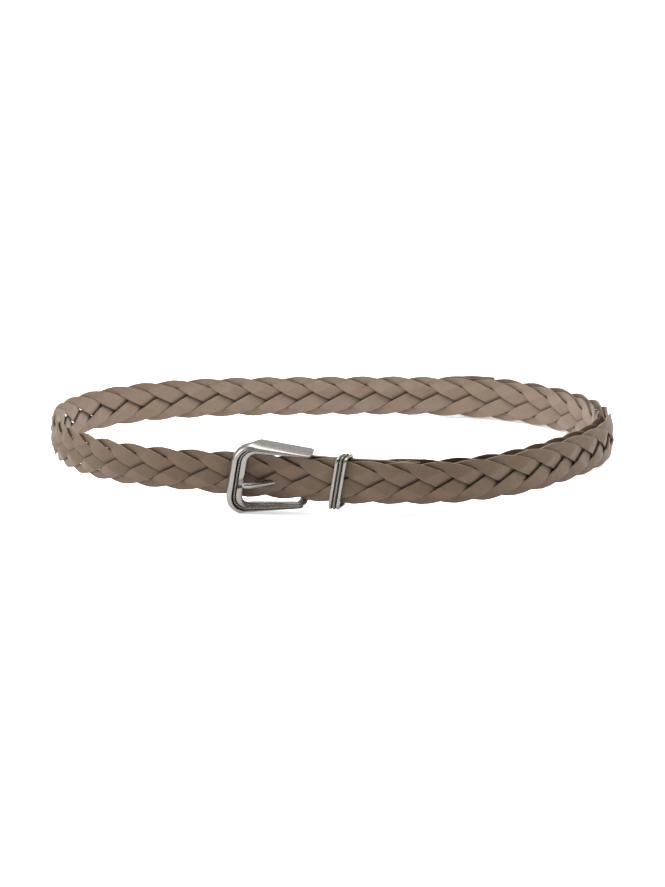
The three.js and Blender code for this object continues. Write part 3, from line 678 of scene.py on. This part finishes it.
# Half a section of the keeper: share across its width, share of its wall, share of recess
KEEPER_HALF = np.array(
    [
        *([0.0, 0.0, 0.2], [0.0, 0.7, 0.0], [0.02, 0.86, 0.0], [0.06, 0.95, 0.0]),
        *([0.14, 0.97, 0.0], [0.22, 0.95, 0.05], [0.25, 0.85, 0.5], [0.275, 0.62, 1.0]),
    ]
)
KEEPER_OTHER_HALF = KEEPER_HALF[::-1] * [-1, 1, 1] + [1, 0, 0]
KEEPER_SECTION = np.concatenate([KEEPER_HALF, [[0.5, 0.6, 1.0]], KEEPER_OTHER_HALF])
# Height of the keeper's rope line as a share of its wall
ROPE_HEIGHT = 0.72


def keeper_path():
    """Round the strap: four quarter circles joined by straight sides, as out, up and outward direction."""
    deep_in = HINGE_OUT - HALF_TAB - 2 * GAP
    deep_out = OUTER_LAYER + HALF_PLAIT + 2 * GAP
    tall = STRAP_WIDTH / 2 + KEEPER_ROOM
    c = KEEPER_CORNER
    high, low = tall - c - KEEPER_DROP, c - tall - KEEPER_DROP
    centres = np.array([[deep_out - c, high], [deep_in + c, high], [deep_in + c, low], [deep_out - c, low]])
    rows = []
    for i in range(4):
        q = radians(90 * i) + np.linspace(0, 1, 12) * math.pi / 2
        turn = np.stack([np.cos(q), np.sin(q)], 1)
        rows.append(np.concatenate([centres[i] + c * turn, turn], 1))
        start, end = rows[-1][-1], np.concatenate([centres[(i + 1) % 4] + c * turn[-1], turn[-1]])
        t = np.linspace(0, 1, 14)[1:-1, None]
        rows.append(start + (end - start) * t)
    return np.concatenate(rows)


def on_keeper(across, out, up):
    """Keeper coordinates to the frame's metres: across its width, sheared by the metal's lean."""
    run = KEEPER_AT + (across - 0.5) * KEEPER_WIDTH + up * KEEPER_LEAN
    return settle(place(run, up, out - stepped(LAYERS, KEEPER_AT)))


def keeper_skin():
    """The keeper's section carried round the strap, and the rope line that lies in its groove."""
    path = keeper_path()
    section = refined(KEEPER_SECTION, 3, 0.8)
    reach = KEEPER_WALL * section[None, :, 1]
    out = path[:, 0:1] + path[:, 2:3] * reach
    up = path[:, 1:2] + path[:, 3:4] * reach
    band = tube(on_keeper(section[None, :, 0], out, up), closed=True)
    recess = np.broadcast_to(section[None, :, 2], out.shape).ravel()
    wire = np.concatenate([path, path[:1]])
    level = np.zeros((len(wire), 1))
    line = np.concatenate([level, wire[:, :2] + wire[:, 2:] * KEEPER_WALL * ROPE_HEIGHT], 1)
    normal = np.concatenate([level, wire[:, 2:]], 1)
    ring, depth = rope_skin(line, normal, KEEPER_ROPE)
    rope = tube(on_keeper(0.5 + ring[..., 0] / KEEPER_WIDTH, ring[..., 1], ring[..., 2])[:-1], closed=True)
    return joined([band, rope]), np.concatenate([recess, depth[:-1].ravel()])


# Rows along a ply, columns above and below the slot, and columns in it
PLY_ROWS = 90
SIDE_COLUMNS = 14
SLOT_COLUMNS = 5


def folded_sheet(fold, sense, length, fold_radius, tip_half, slotted=False):
    """Middle surface of leather folded on itself: two plies joined by a half circle, opening by smooth steps
    into a pocket, its height rising from the tip as a quarter circle. Faces in the slot are left out."""
    closed_ply = HALF_TAB - LEATHER / 2
    run = length * np.linspace(1, 0, PLY_ROWS) ** 1.3

    def ply(r):
        gape = ease((r - (length - POCKET_LENGTH - POCKET_MOUTH)) / POCKET_MOUTH)
        shut = ease(r / (3.25 * fold_radius))
        return fold_radius + (closed_ply - fold_radius) * shut + (POCKET - closed_ply) * gape

    q = math.pi / 2 + np.linspace(0, 1, 17)[1:-1] * math.pi
    along = np.concatenate([run, fold_radius * np.cos(q), run[::-1]])
    out = np.concatenate([ply(run), fold_radius * np.sin(q), -ply(run)[::-1]])
    share = np.clip((along + fold_radius) / (TIP_LENGTH * 0.45), 0, 1)
    tall = tip_half + (TAB_HALF_HEIGHT - tip_half) * np.sqrt(1 - (1 - share) ** 2)
    side = np.linspace(0.2, 1, SIDE_COLUMNS)
    up = np.concatenate([-side[::-1], np.linspace(-0.16, 0.16, SLOT_COLUMNS), side])
    slot_up = PRONG_UP + FRAME_LIFT if slotted else 0
    height = tall[:, None] * up[None] + slot_up * (1 - up[None] ** 2)
    points = settle(place(fold + sense * along[:, None], height, out[:, None]))
    rows, columns = points.shape[:2]
    quads = grid_faces(rows, columns, closed_columns=False)
    if slotted:
        i, j = np.divmod(np.arange(len(quads)), columns - 1)
        inside = (j >= SIDE_COLUMNS - 1) & (j < SIDE_COLUMNS - 1 + SLOT_COLUMNS)
        quads = quads[~((along[i] < HINGE_RADIUS + HINGE_ROOM + LEATHER) & inside)]
    if sense > 0:
        quads = quads[:, ::-1]
    return points.reshape(-1, 3), quads, np.zeros((0, 3), int), np.zeros(len(quads), int)


# The sheets' wall against the leather's, and the rounding of their edges in millimetres
SHEET_SHARE = 0.94
SOFT_EDGE = 0.28


def leather_sheet(name, skin):
    """Turns a middle surface into leather: its wall added evenly on both sides, its edges rounded."""
    piece = new_piece(name, skin, LEATHER_SIDES)
    wall = piece.modifiers.new("wall", "SOLIDIFY")
    wall.thickness = LEATHER * SHEET_SHARE * MM
    wall.offset = 0
    wall.use_even_offset = True
    wall.material_offset = FLESH
    wall.material_offset_rim = CUT
    soft = piece.modifiers.new("soft_edge", "BEVEL")
    soft.width = SOFT_EDGE * MM
    soft.segments = 2
    soft.limit_method = "ANGLE"
    soft.angle_limit = radians(50)
    soft.material = -1
    return piece


# Stitches, millimetres: radius, half length, distance from one to the next and from the leather's end
STITCH_RADIUS = 0.34
STITCH_HALF = 1.1
STITCH_PITCH = 3.1
STITCH_INSET = 3.5
STITCH_TILT = 0.12
STITCH_OUT = POCKET + LEATHER / 2 + 0.02


def stitches_skin(run):
    """Thread stitches at one run: a column of seven tilted ovals on the outer side and on the inner side."""
    q = circle(8)
    spine = np.linspace(-1, 1, 8)[:, None]
    girth = STITCH_RADIUS * np.sqrt(1 - (abs(spine) * 0.97) ** 3)
    spine = spine * STITCH_HALF
    parts = []
    for side in (STITCH_OUT, -STITCH_OUT):
        for up in np.arange(-3, 4) * STITCH_PITCH:
            along = run + STITCH_TILT * spine + girth * np.cos(q)
            parts.append(tube(settle(place(along, up + spine, side + girth * np.sin(q)))))
    return joined(parts)


# Shader groups and finishes


class Wiring:
    """A node tree with short calls for adding nodes and links."""

    def __init__(self, tree):
        self.tree = tree

    def add(self, kind, name, settings=None, values=None):
        """A named node with its settings, and its inputs given as plain values or as other nodes' sockets."""
        made = self.tree.nodes.new(kind)
        made.name = made.label = name
        for key, value in (settings or {}).items():
            setattr(made, key, value)
        for key, value in (values or {}).items():
            if isinstance(value, (int, float, tuple)):
                made.inputs[key].default_value = value
            else:
                self.tree.links.new(value, made.inputs[key])
        return made

    def place(self):
        return self.add("ShaderNodeTexCoord", "place").outputs["Object"]

    def attribute(self, name):
        return self.add("ShaderNodeAttribute", name, {"attribute_name": name}).outputs["Fac"]

    def math(self, name, operation, *values):
        settings = {"operation": operation}
        return self.add("ShaderNodeMath", name, settings, dict(enumerate(values))).outputs[0]

    def span(self, name, value, low, high, to_low=0.0, to_high=1.0):
        values = {"Value": value, "From Min": low, "From Max": high, "To Min": to_low, "To Max": to_high}
        return self.add("ShaderNodeMapRange", name, values=values).outputs[0]

    def blend(self, name, factor, first, second, kind="MIX"):
        settings = {"data_type": "RGBA", "blend_type": kind}
        return self.add("ShaderNodeMix", name, settings, {0: factor, 6: first, 7: second}).outputs[2]

    def noise(self, name, at, scale, detail=3.0, roughness=0.5, distortion=0.0):
        values = {"Vector": at, "Scale": scale, "Detail": detail}
        values.update({"Roughness": roughness, "Distortion": distortion})
        return self.add("ShaderNodeTexNoise", name, values=values).outputs[0]

    def bump(self, height, strength, depth):
        values = {"Height": height, "Strength": strength, "Distance": depth}
        return self.add("ShaderNodeBump", "relief", values=values).outputs[0]

    def group(self, name, values):
        return self.add("ShaderNodeGroup", name, {"node_tree": group_named(name)}, values).outputs[0]


def wire_tone(w, given):
    """Dyed leather's colour: a base that drifts to a warm and an olive shade in patches, with fine flecks."""
    at = w.place()
    warm = w.span("warm patches", w.noise("warm field", at, 46.0, 2.0), 0.42, 0.66)
    olive = w.span("olive patches", w.noise("olive field", at, 31.0, 2.0, 0.5, 0.4), 0.45, 0.68)
    warm = w.math("warm share", "MULTIPLY", warm, given["Drift"])
    olive = w.math("olive share", "MULTIPLY", olive, given["Drift"])
    first = w.blend("towards warm", warm, given["Base"], given["Warm"])
    second = w.blend("towards olive", olive, first, given["Olive"])
    fleck = w.span("fleck field", w.noise("flecks", at, 1500.0, 3.0, 0.6), 0.3, 0.7, -1.0, 1.0)
    cloud = w.span("cloud field", w.noise("clouds", at, 130.0, 3.0, 0.55), 0.3, 0.7, -1.0, 1.0)
    value = w.math("value", "MULTIPLY_ADD", w.math("both", "ADD", fleck, cloud), given["Fleck"], 1.0)
    grey = w.add("ShaderNodeCombineColor", "grey", values={0: value, 1: value, 2: value})
    return w.blend("flecked", 1.0, second, grey.outputs[0], "MULTIPLY")


def wire_grain(w, given):
    """Leather's relief: small pebbles between fine creases, with a slow unevenness under them."""
    at = w.place()
    values = {"Vector": at, "Scale": given["Pebbles"], "Smoothness": 0.6}
    cells = w.add("ShaderNodeTexVoronoi", "pebbles", {"feature": "SMOOTH_F1"}, values)
    tops = w.span("pebble tops", cells.outputs["Distance"], 0.1, 0.7, 1.0, 0.0)
    low = w.math("low", "MULTIPLY", w.noise("unevenness", at, 160.0, 4.0, 0.55), 1.6)
    crease = w.noise("crease field", at, 260.0, 5.0, 0.6, 1.6)
    fold = w.math("fold", "ABSOLUTE", w.math("centred", "SUBTRACT", crease, 0.5))
    creased = w.math("creased", "MULTIPLY", w.span("crease lines", fold, 0.0, 0.06), given["Creases"])
    return w.math("all", "ADD", w.math("upper", "MULTIPLY_ADD", tops, 0.35, low), creased)


def wire_rim_rub_and_highlight(w, given):
    """Paler rim of a strand, partly rubbed and partly a painted highlight along its cut edges: the piece's
    rim value broken up by noise, as a mask.
    """
    broken = w.span("broken", w.noise("rub", w.place(), 420.0, 4.0, 0.6), 0.32, 0.62, 0.35, 1.0)
    rubbed = w.math("rubbed", "MULTIPLY", w.attribute("rim"), broken)
    return w.math("mask", "MULTIPLY", rubbed, given["Amount"])


def wire_crossing_shade(w, given):
    """Painted shade where a strand goes under another: a colour darkened by the piece's sunk value."""
    share = w.math("share", "MULTIPLY", w.attribute("sunk"), given["Amount"])
    dark = w.blend("dark", 1.0, given["Colour"], (0.12, 0.1, 0.09, 1.0), "MULTIPLY")
    return w.blend("shaded_under_crossings", share, given["Colour"], dark)


def wire_tarnish(w, given):
    """Dark tarnish: full in the recesses that the piece's values give, thin clouds elsewhere, as a mask."""
    cloud = w.span("clouds", w.noise("cloud field", w.place(), 170.0, 5.0, 0.65), 0.45, 0.75)
    thin = w.math("thin", "MULTIPLY", cloud, given["Clouds"])
    return w.math("mask", "MAXIMUM", w.span("deep", w.attribute("recess"), 0.25, 0.9), thin)


TONE_INPUTS = {
    "Base": (0.2, 0.16, 0.12, 1.0),
    "Warm": (0.2, 0.14, 0.11, 1.0),
    "Olive": (0.18, 0.16, 0.1, 1.0),
    "Drift": 0.5,
    "Fleck": 0.1,
}
# Each shader group's wiring, its inputs with their defaults, and the name of its one output
SHADER_GROUPS = {
    "leather_tone": (wire_tone, TONE_INPUTS, "Colour"),
    "leather_grain": (wire_grain, {"Pebbles": 900.0, "Creases": 0.5}, "Height"),
    # Paler rims: partly rubbed, partly a painted highlight along the cut edges
    "rim_rub_and_highlight": (wire_rim_rub_and_highlight, {"Amount": 0.6}, "Mask"),
    # Painted shade where a strand goes under another
    "crossing_shade": (wire_crossing_shade, {"Colour": (0.1, 0.08, 0.06, 1.0), "Amount": 0.85}, "Colour"),
    "tarnish": (wire_tarnish, {"Clouds": 0.2}, "Mask"),
}


def group_named(name):
    """The shader group of that name, made with its named sockets and wired on its first use."""
    tree = bpy.data.node_groups.get(name)
    if tree:
        return tree
    tree = bpy.data.node_groups.new(name, "ShaderNodeTree")
    wire, inputs, output = SHADER_GROUPS[name]
    for label, default in inputs.items():
        kind = "NodeSocketFloat" if isinstance(default, float) else "NodeSocketColor"
        socket = tree.interface.new_socket(name=label, in_out="INPUT", socket_type=kind)
        socket.default_value = default
    kind = "NodeSocketColor" if output == "Colour" else "NodeSocketFloat"
    tree.interface.new_socket(name=output, in_out="OUTPUT", socket_type=kind)
    w = Wiring(tree)
    given = w.add("NodeGroupInput", "given").outputs
    w.add("NodeGroupOutput", "made", values={output: wire(w, given)})
    return tree


def shaded(colour, share=(1.0, 1.0, 1.0)):
    """A colour with its red, green and blue each scaled by a share."""
    return tuple(c * s for c, s in zip(colour, share)) + (1.0,)


def leather_tone(w, base, warm, olive, drift, fleck):
    """The leather's colour from its base and the shares that its warm and olive patches scale it by."""
    values = {"Base": base, "Warm": shaded(base, warm), "Olive": shaded(base, olive)}
    values.update({"Drift": drift, "Fleck": fleck})
    return w.group("leather_tone", values)


def leather_relief(w, pebbles, creases, strength, depth):
    """The leather's grain as a bumped normal."""
    return w.bump(w.group("leather_grain", {"Pebbles": pebbles, "Creases": creases}), strength, depth)


def grain_finish(w, sizes):
    """Smooth dyed grain side: drifting taupe, paler rims, partly rubbed and partly a painted highlight,
    painted shade at the edge turns and under crossings, fine creases and a low sheen.
    """
    base = shaded(sizes.grain_colour)
    tone = leather_tone(w, base, (1.07, 0.95, 0.93), (1.0, 1.02, 0.86), 0.75, 0.05)
    # Paler rims towards the cut colour: partly rubbed leather, partly a painted highlight along the edges
    worn = w.blend("rim rub and highlight", w.group("rim_rub_and_highlight", {"Amount": 0.3}), tone, shaded(sizes.cut_colour))
    # Painted shade: the grain darkens and greys where the strand turns over the strap's edge
    share = w.math("turn share", "MULTIPLY", w.attribute("turn"), 0.16)
    turn_shaded = w.blend("edge turns", share, worn, shaded(base, (0.6, 0.62, 0.6)))
    return {
        # Painted shade darkens the colour where the strand goes under another
        "Base Color": w.group("crossing_shade", {"Colour": turn_shaded}),
        "Normal": leather_relief(w, 1300.0, 0.35, 0.4, 0.00012),
        "Roughness": w.span("gloss", w.noise("gloss field", w.place(), 240.0), 0.3, 0.7, 0.5, 0.64),
        "Specular IOR Level": 0.25,
    }


def flesh_finish(w, sizes):
    """Flesh side: paler, matt and napped."""
    tone = leather_tone(w, shaded(sizes.flesh_colour), (1.05, 0.96, 0.94), (0.99, 1.01, 0.9), 0.6, 0.07)
    return {
        # Painted shade darkens the colour where the strand goes under another
        "Base Color": w.group("crossing_shade", {"Colour": tone}),
        "Normal": leather_relief(w, 2600.0, 0.2, 0.45, 0.0001),
        "Roughness": 0.82,
        "Specular IOR Level": 0.2,
        "Sheen Weight": 0.12,
    }


def cut_finish(w, sizes):
    """Raw cut edge: pale fibres with darker layers."""
    base = shaded(sizes.cut_colour)
    return {
        "Base Color": leather_tone(w, base, (1.04, 0.94, 0.88), (0.8, 0.8, 0.76), 0.9, 0.14),
        "Normal": leather_relief(w, 3200.0, 0.8, 0.6, 0.00012),
        "Roughness": 0.78,
        "Specular IOR Level": 0.2,
    }


def metal_finish(w, sizes):
    """Antique cast metal: pale worn silver, soft casting unevenness, dark tarnish in the recesses."""
    mask = w.group("tarnish", {"Clouds": 0.1})
    at = w.place()
    polish = w.span("polish", w.noise("polish field", at, 300.0, 4.0, 0.6), 0.3, 0.7, 0.24, 0.36)
    cast = w.noise("cast field", at, 220.0, 4.0, 0.6)
    pits = w.noise("pit field", at, 1900.0, 2.0, 0.5)
    return {
        "Base Color": w.blend("tarnished", mask, shaded(sizes.metal_colour), shaded(sizes.tarnish_colour)),
        "Normal": w.bump(w.math("skin", "MULTIPLY_ADD", pits, 0.12, cast), 0.12, 0.0002),
        "Roughness": w.math("dull", "MULTIPLY_ADD", mask, 0.28, polish),
        "Metallic": 1.0,
    }


def thread_finish(w, sizes):
    """Waxed thread, a little darker than the leather, with a fine ply."""
    base = shaded(sizes.grain_colour, (0.75, 0.72, 0.7))
    ply = w.span("ply", w.noise("ply field", w.place(), 2600.0, 2.0), 0.3, 0.7)
    return {"Base Color": w.blend("plied", ply, base, shaded(base, (1.35, 1.33, 1.3))), "Roughness": 0.6}


def floor_finish(w, sizes):
    """Plain pale floor with a faint glow of its own, so that it stays even."""
    base = shaded(sizes.floor_colour)
    faint = w.span("faint", w.noise("faint field", w.place(), 3.0, 2.0), 0.3, 0.7)
    return {
        "Base Color": w.blend("paper", faint, base, shaded(base, (0.995, 0.995, 0.995))),
        "Roughness": 0.9,
        "Specular IOR Level": 0.1,
        "Emission Color": base,
        "Emission Strength": 0.55,
    }


# Each material's finish, which gives the inputs of its surface
FINISHES = {
    "leather_grain_side": grain_finish,
    "leather_flesh_side": flesh_finish,
    "leather_cut_edge": cut_finish,
    "antique_metal": metal_finish,
    "waxed_thread": thread_finish,
    "pale_floor": floor_finish,
}
# The leather's materials in the order of GRAIN, FLESH and CUT
LEATHER_SIDES = ("leather_grain_side", "leather_flesh_side", "leather_cut_edge")


def finish_named(name):
    """The material of that name, made on its first use."""
    material = bpy.data.materials.get(name)
    if material:
        return material
    material = bpy.data.materials.new(name)
    material.use_nodes = True
    w = Wiring(material.node_tree)
    w.tree.nodes.clear()
    values = FINISHES[name](w, bpy.context.scene.belt_finishes)
    surface = w.add("ShaderNodeBsdfPrincipled", "surface", values=values)
    w.add("ShaderNodeOutputMaterial", "output", values={"Surface": surface.outputs[0]})
    return material


# Sizes and colours that a user would change


def length_property(label, about, value):
    return bpy.props.FloatProperty(name=label, description=about, default=value, unit="LENGTH", precision=4)


def colour_property(label, about, value):
    return bpy.props.FloatVectorProperty(name=label, description=about, default=value, subtype="COLOR")


class BeltPlaitSizes(bpy.types.PropertyGroup):
    thickness: length_property("Strand thickness", "Thickness of each leather strand", 0.0013)
    crown: length_property("Crown", "How far a strand bulges between its edges", 0.0003)


class BeltMetalSizes(bpy.types.PropertyGroup):
    prong_radius: length_property("Prong radius", "Half the prong's width", 0.0018)


class BeltFinishes(bpy.types.PropertyGroup):
    grain_colour: colour_property("Grain side", "Colour of the outer side", (0.0945, 0.0635, 0.0415))
    flesh_colour: colour_property("Flesh side", "Colour of the inner side", (0.155, 0.114, 0.086))
    cut_colour: colour_property("Cut edge", "Colour of the cut edges", (0.16, 0.122, 0.088))
    metal_colour: colour_property("Metal", "Colour of the worn metal", (0.205, 0.19, 0.176))
    tarnish_colour: colour_property("Tarnish", "Colour of the metal's recesses", (0.03, 0.027, 0.025))
    floor_colour: colour_property("Floor", "Colour of the floor", (0.93, 0.93, 0.93))


class BELT_OT_plait(bpy.types.Operator):
    """Makes the five strands of the plait"""

    bl_idname = "belt.plait"
    bl_label = "Plait"

    def execute(self, context):
        sizes = context.scene.belt_plait
        for i in range(STRANDS):
            skin, values = strand_skin(i, sizes.thickness / MM, sizes.crown / MM)
            piece = new_piece(f"strand_{i + 1}", skin, LEATHER_SIDES, values)
            fit(piece, "leather", f"plait_strand_{i + 1}")
        return {"FINISHED"}


class BELT_OT_buckle(bpy.types.Operator):
    """Makes the cast frame with its rope line and hinge bar, and the prong"""

    bl_idname = "belt.buckle"
    bl_label = "Buckle"

    def execute(self, context):
        body, recess = frame_skin()
        ring, depth = frame_rope()
        rope = tube(on_buckle(*np.moveaxis(ring, -1, 0), leaning=False))
        bar = hinge_bar()
        values = {"recess": np.concatenate([recess, capped(depth), np.zeros(len(bar[0]))])}
        piece = new_piece("cast_frame", joined([body, rope, bar]), ["antique_metal"], values)
        fit(piece, "metal", "buckle_frame")
        prong = prong_skin(context.scene.belt_metal.prong_radius / MM)
        fit(new_piece("tongue", prong, ["antique_metal"]), "metal", "prong")
        return {"FINISHED"}


class BELT_OT_keeper(bpy.types.Operator):
    """Makes the metal keeper with its rope line"""

    bl_idname = "belt.keeper"
    bl_label = "Keeper"

    def execute(self, context):
        skin, recess = keeper_skin()
        piece = new_piece("metal_keeper", skin, ["antique_metal"], {"recess": recess})
        fit(piece, "metal", "keeper")
        return {"FINISHED"}


class BELT_OT_ends(bpy.types.Operator):
    """Makes the leather tab folded round the hinge bar, the tail's tip and their stitches"""

    bl_idname = "belt.ends"
    bl_label = "Tab and tip"

    def execute(self, context):
        fold = HINGE_RADIUS + HINGE_ROOM + LEATHER / 2
        tab = folded_sheet(0.0, 1, TAB_LENGTH, fold, TAB_HALF_HEIGHT, slotted=True)
        fit(leather_sheet("hinge_tab", tab), "leather", "buckle_tab")
        end = LAP + TAIL_REACH
        length = TIP_LENGTH - HALF_TAB
        tip = folded_sheet(end - HALF_TAB, -1, length, HALF_TAB - LEATHER / 2, TIP_HALF_HEIGHT)
        fit(leather_sheet("end_tip", tip), "leather", "tail_tip")
        seams = {"tab_stitches": TAB_LENGTH - STITCH_INSET, "tip_stitches": end - TIP_LENGTH + STITCH_INSET}
        for name, run in seams.items():
            fit(new_piece(name, stitches_skin(run), ["waxed_thread"]), "leather")
        return {"FINISHED"}


def stand(scene, name, data, at, turn):
    """Object for a light or the camera, at its place and turned by a quaternion."""
    made = bpy.data.objects.new(name, data)
    made.location = at
    made.rotation_mode = "QUATERNION"
    made.rotation_quaternion = turn
    scene.collection.objects.link(made)
    return made


class BELT_OT_stage(bpy.types.Operator):
    """Makes the pale floor, the soft lights and the camera"""

    bl_idname = "belt.stage"
    bl_label = "Stage"

    def execute(self, context):
        scene = context.scene
        scene.view_settings.view_transform = "Standard"
        scene.view_settings.look = "None"
        reach = 12.0
        corners = np.array([[-reach, -reach, 0], [reach, -reach, 0], [reach, reach, 0], [-reach, reach, 0]])
        skin = (corners, np.array([[0, 1, 2, 3]]), np.zeros((0, 3), int), np.zeros(1, int))
        new_piece("floor", skin, ["pale_floor"])
        for name, at, aim, size, power in STUDIO_LIGHTS:
            lamp = bpy.data.lights.new(name, "AREA")
            lamp.shape = "RECTANGLE"
            lamp.size, lamp.size_y = size
            lamp.energy = power
            stand(scene, name, lamp, at, (Vector(aim) - Vector(at)).to_track_quat("-Z", "Y"))
        studio_world(scene)
        self.camera(scene)
        return {"FINISHED"}

    def camera(self, scene):
        tip = radians(VIEW_ELEVATION_DEG)
        back = np.array([0, -math.cos(tip), math.sin(tip)])
        backward = Vector(SETTLE @ back)
        right = Vector(SETTLE @ np.array([1.0, 0, 0]))
        up = backward.cross(right)
        lens = bpy.data.cameras.new("camera")
        lens.lens = VIEW_LENS
        lens.clip_start, lens.clip_end = 0.05, 60.0
        turn = Matrix((right, up, backward)).transposed().to_quaternion()
        at = settle(VIEW_TARGET + back * VIEW_DISTANCE)
        scene.camera = stand(scene, "camera", lens, at, turn)


# Name, place, aim, size and power of the soft lights
STUDIO_LIGHTS = (
    ("overhead", (0.0, -0.08, 0.75), (0.0, -0.05, 0.0), (0.9, 0.5), 9.0),
    ("left", (-1.1, -0.25, 0.45), (-0.15, 0.0, 0.02), (0.5, 0.6), 9.0),
    ("right", (1.2, 0.1, 0.5), (0.15, 0.0, 0.02), (0.4, 0.6), 5.5),
)


def studio_world(scene):
    """Sky light of the studio: bright above and behind, dimmer on the camera's side."""
    world = bpy.data.worlds.new("studio")
    scene.world = world
    world.use_nodes = True
    w = Wiring(world.node_tree)
    w.tree.nodes.clear()
    way = w.add("ShaderNodeTexCoord", "way").outputs["Generated"]
    parts = w.add("ShaderNodeSeparateXYZ", "parts", values={0: way})
    back = w.span("from the back", parts.outputs[1], -0.7, 0.5, 0.1, 0.9)
    high = w.span("from above", parts.outputs[2], 0.0, 0.9, 0.0, 0.35)
    values = {"Color": (1.0, 0.995, 0.985, 1.0), "Strength": w.math("strength", "ADD", back, high)}
    light = w.add("ShaderNodeBackground", "light", values=values)
    w.add("ShaderNodeOutputWorld", "output", values={"Surface": light.outputs[0]})


class BELT_PT_panel(bpy.types.Panel):
    """Sizes, colours and pieces of the belt"""

    bl_idname = "BELT_PT_panel"
    bl_label = "Braided Belt"
    bl_space_type = "VIEW_3D"
    bl_region_type = "UI"
    bl_category = "Belt"

    def draw(self, context):
        scene = context.scene
        for group in (scene.belt_plait, scene.belt_metal, scene.belt_finishes):
            box = self.layout.box()
            for name in group.bl_rna.properties.keys():
                if name not in ("rna_type", "name"):
                    box.prop(group, name)
        for operator in PIECE_OPERATORS:
            self.layout.operator(operator.bl_idname)


PIECE_OPERATORS = (BELT_OT_plait, BELT_OT_buckle, BELT_OT_keeper, BELT_OT_ends, BELT_OT_stage)
CLASSES = (BeltPlaitSizes, BeltMetalSizes, BeltFinishes) + PIECE_OPERATORS + (BELT_PT_panel,)


def register():
    for kind in CLASSES:
        bpy.utils.register_class(kind)
    bpy.types.Scene.belt_plait = bpy.props.PointerProperty(type=BeltPlaitSizes)
    bpy.types.Scene.belt_metal = bpy.props.PointerProperty(type=BeltMetalSizes)
    bpy.types.Scene.belt_finishes = bpy.props.PointerProperty(type=BeltFinishes)


def unregister():
    del bpy.types.Scene.belt_finishes
    del bpy.types.Scene.belt_metal
    del bpy.types.Scene.belt_plait
    for kind in reversed(CLASSES):
        bpy.utils.unregister_class(kind)


def main():
    register()
    bpy.ops.belt.plait()
    bpy.ops.belt.buckle()
    bpy.ops.belt.keeper()
    bpy.ops.belt.ends()
    bpy.ops.belt.stage()
    bpy.context.view_layer.update()


if __name__ == "__main__":
    main()
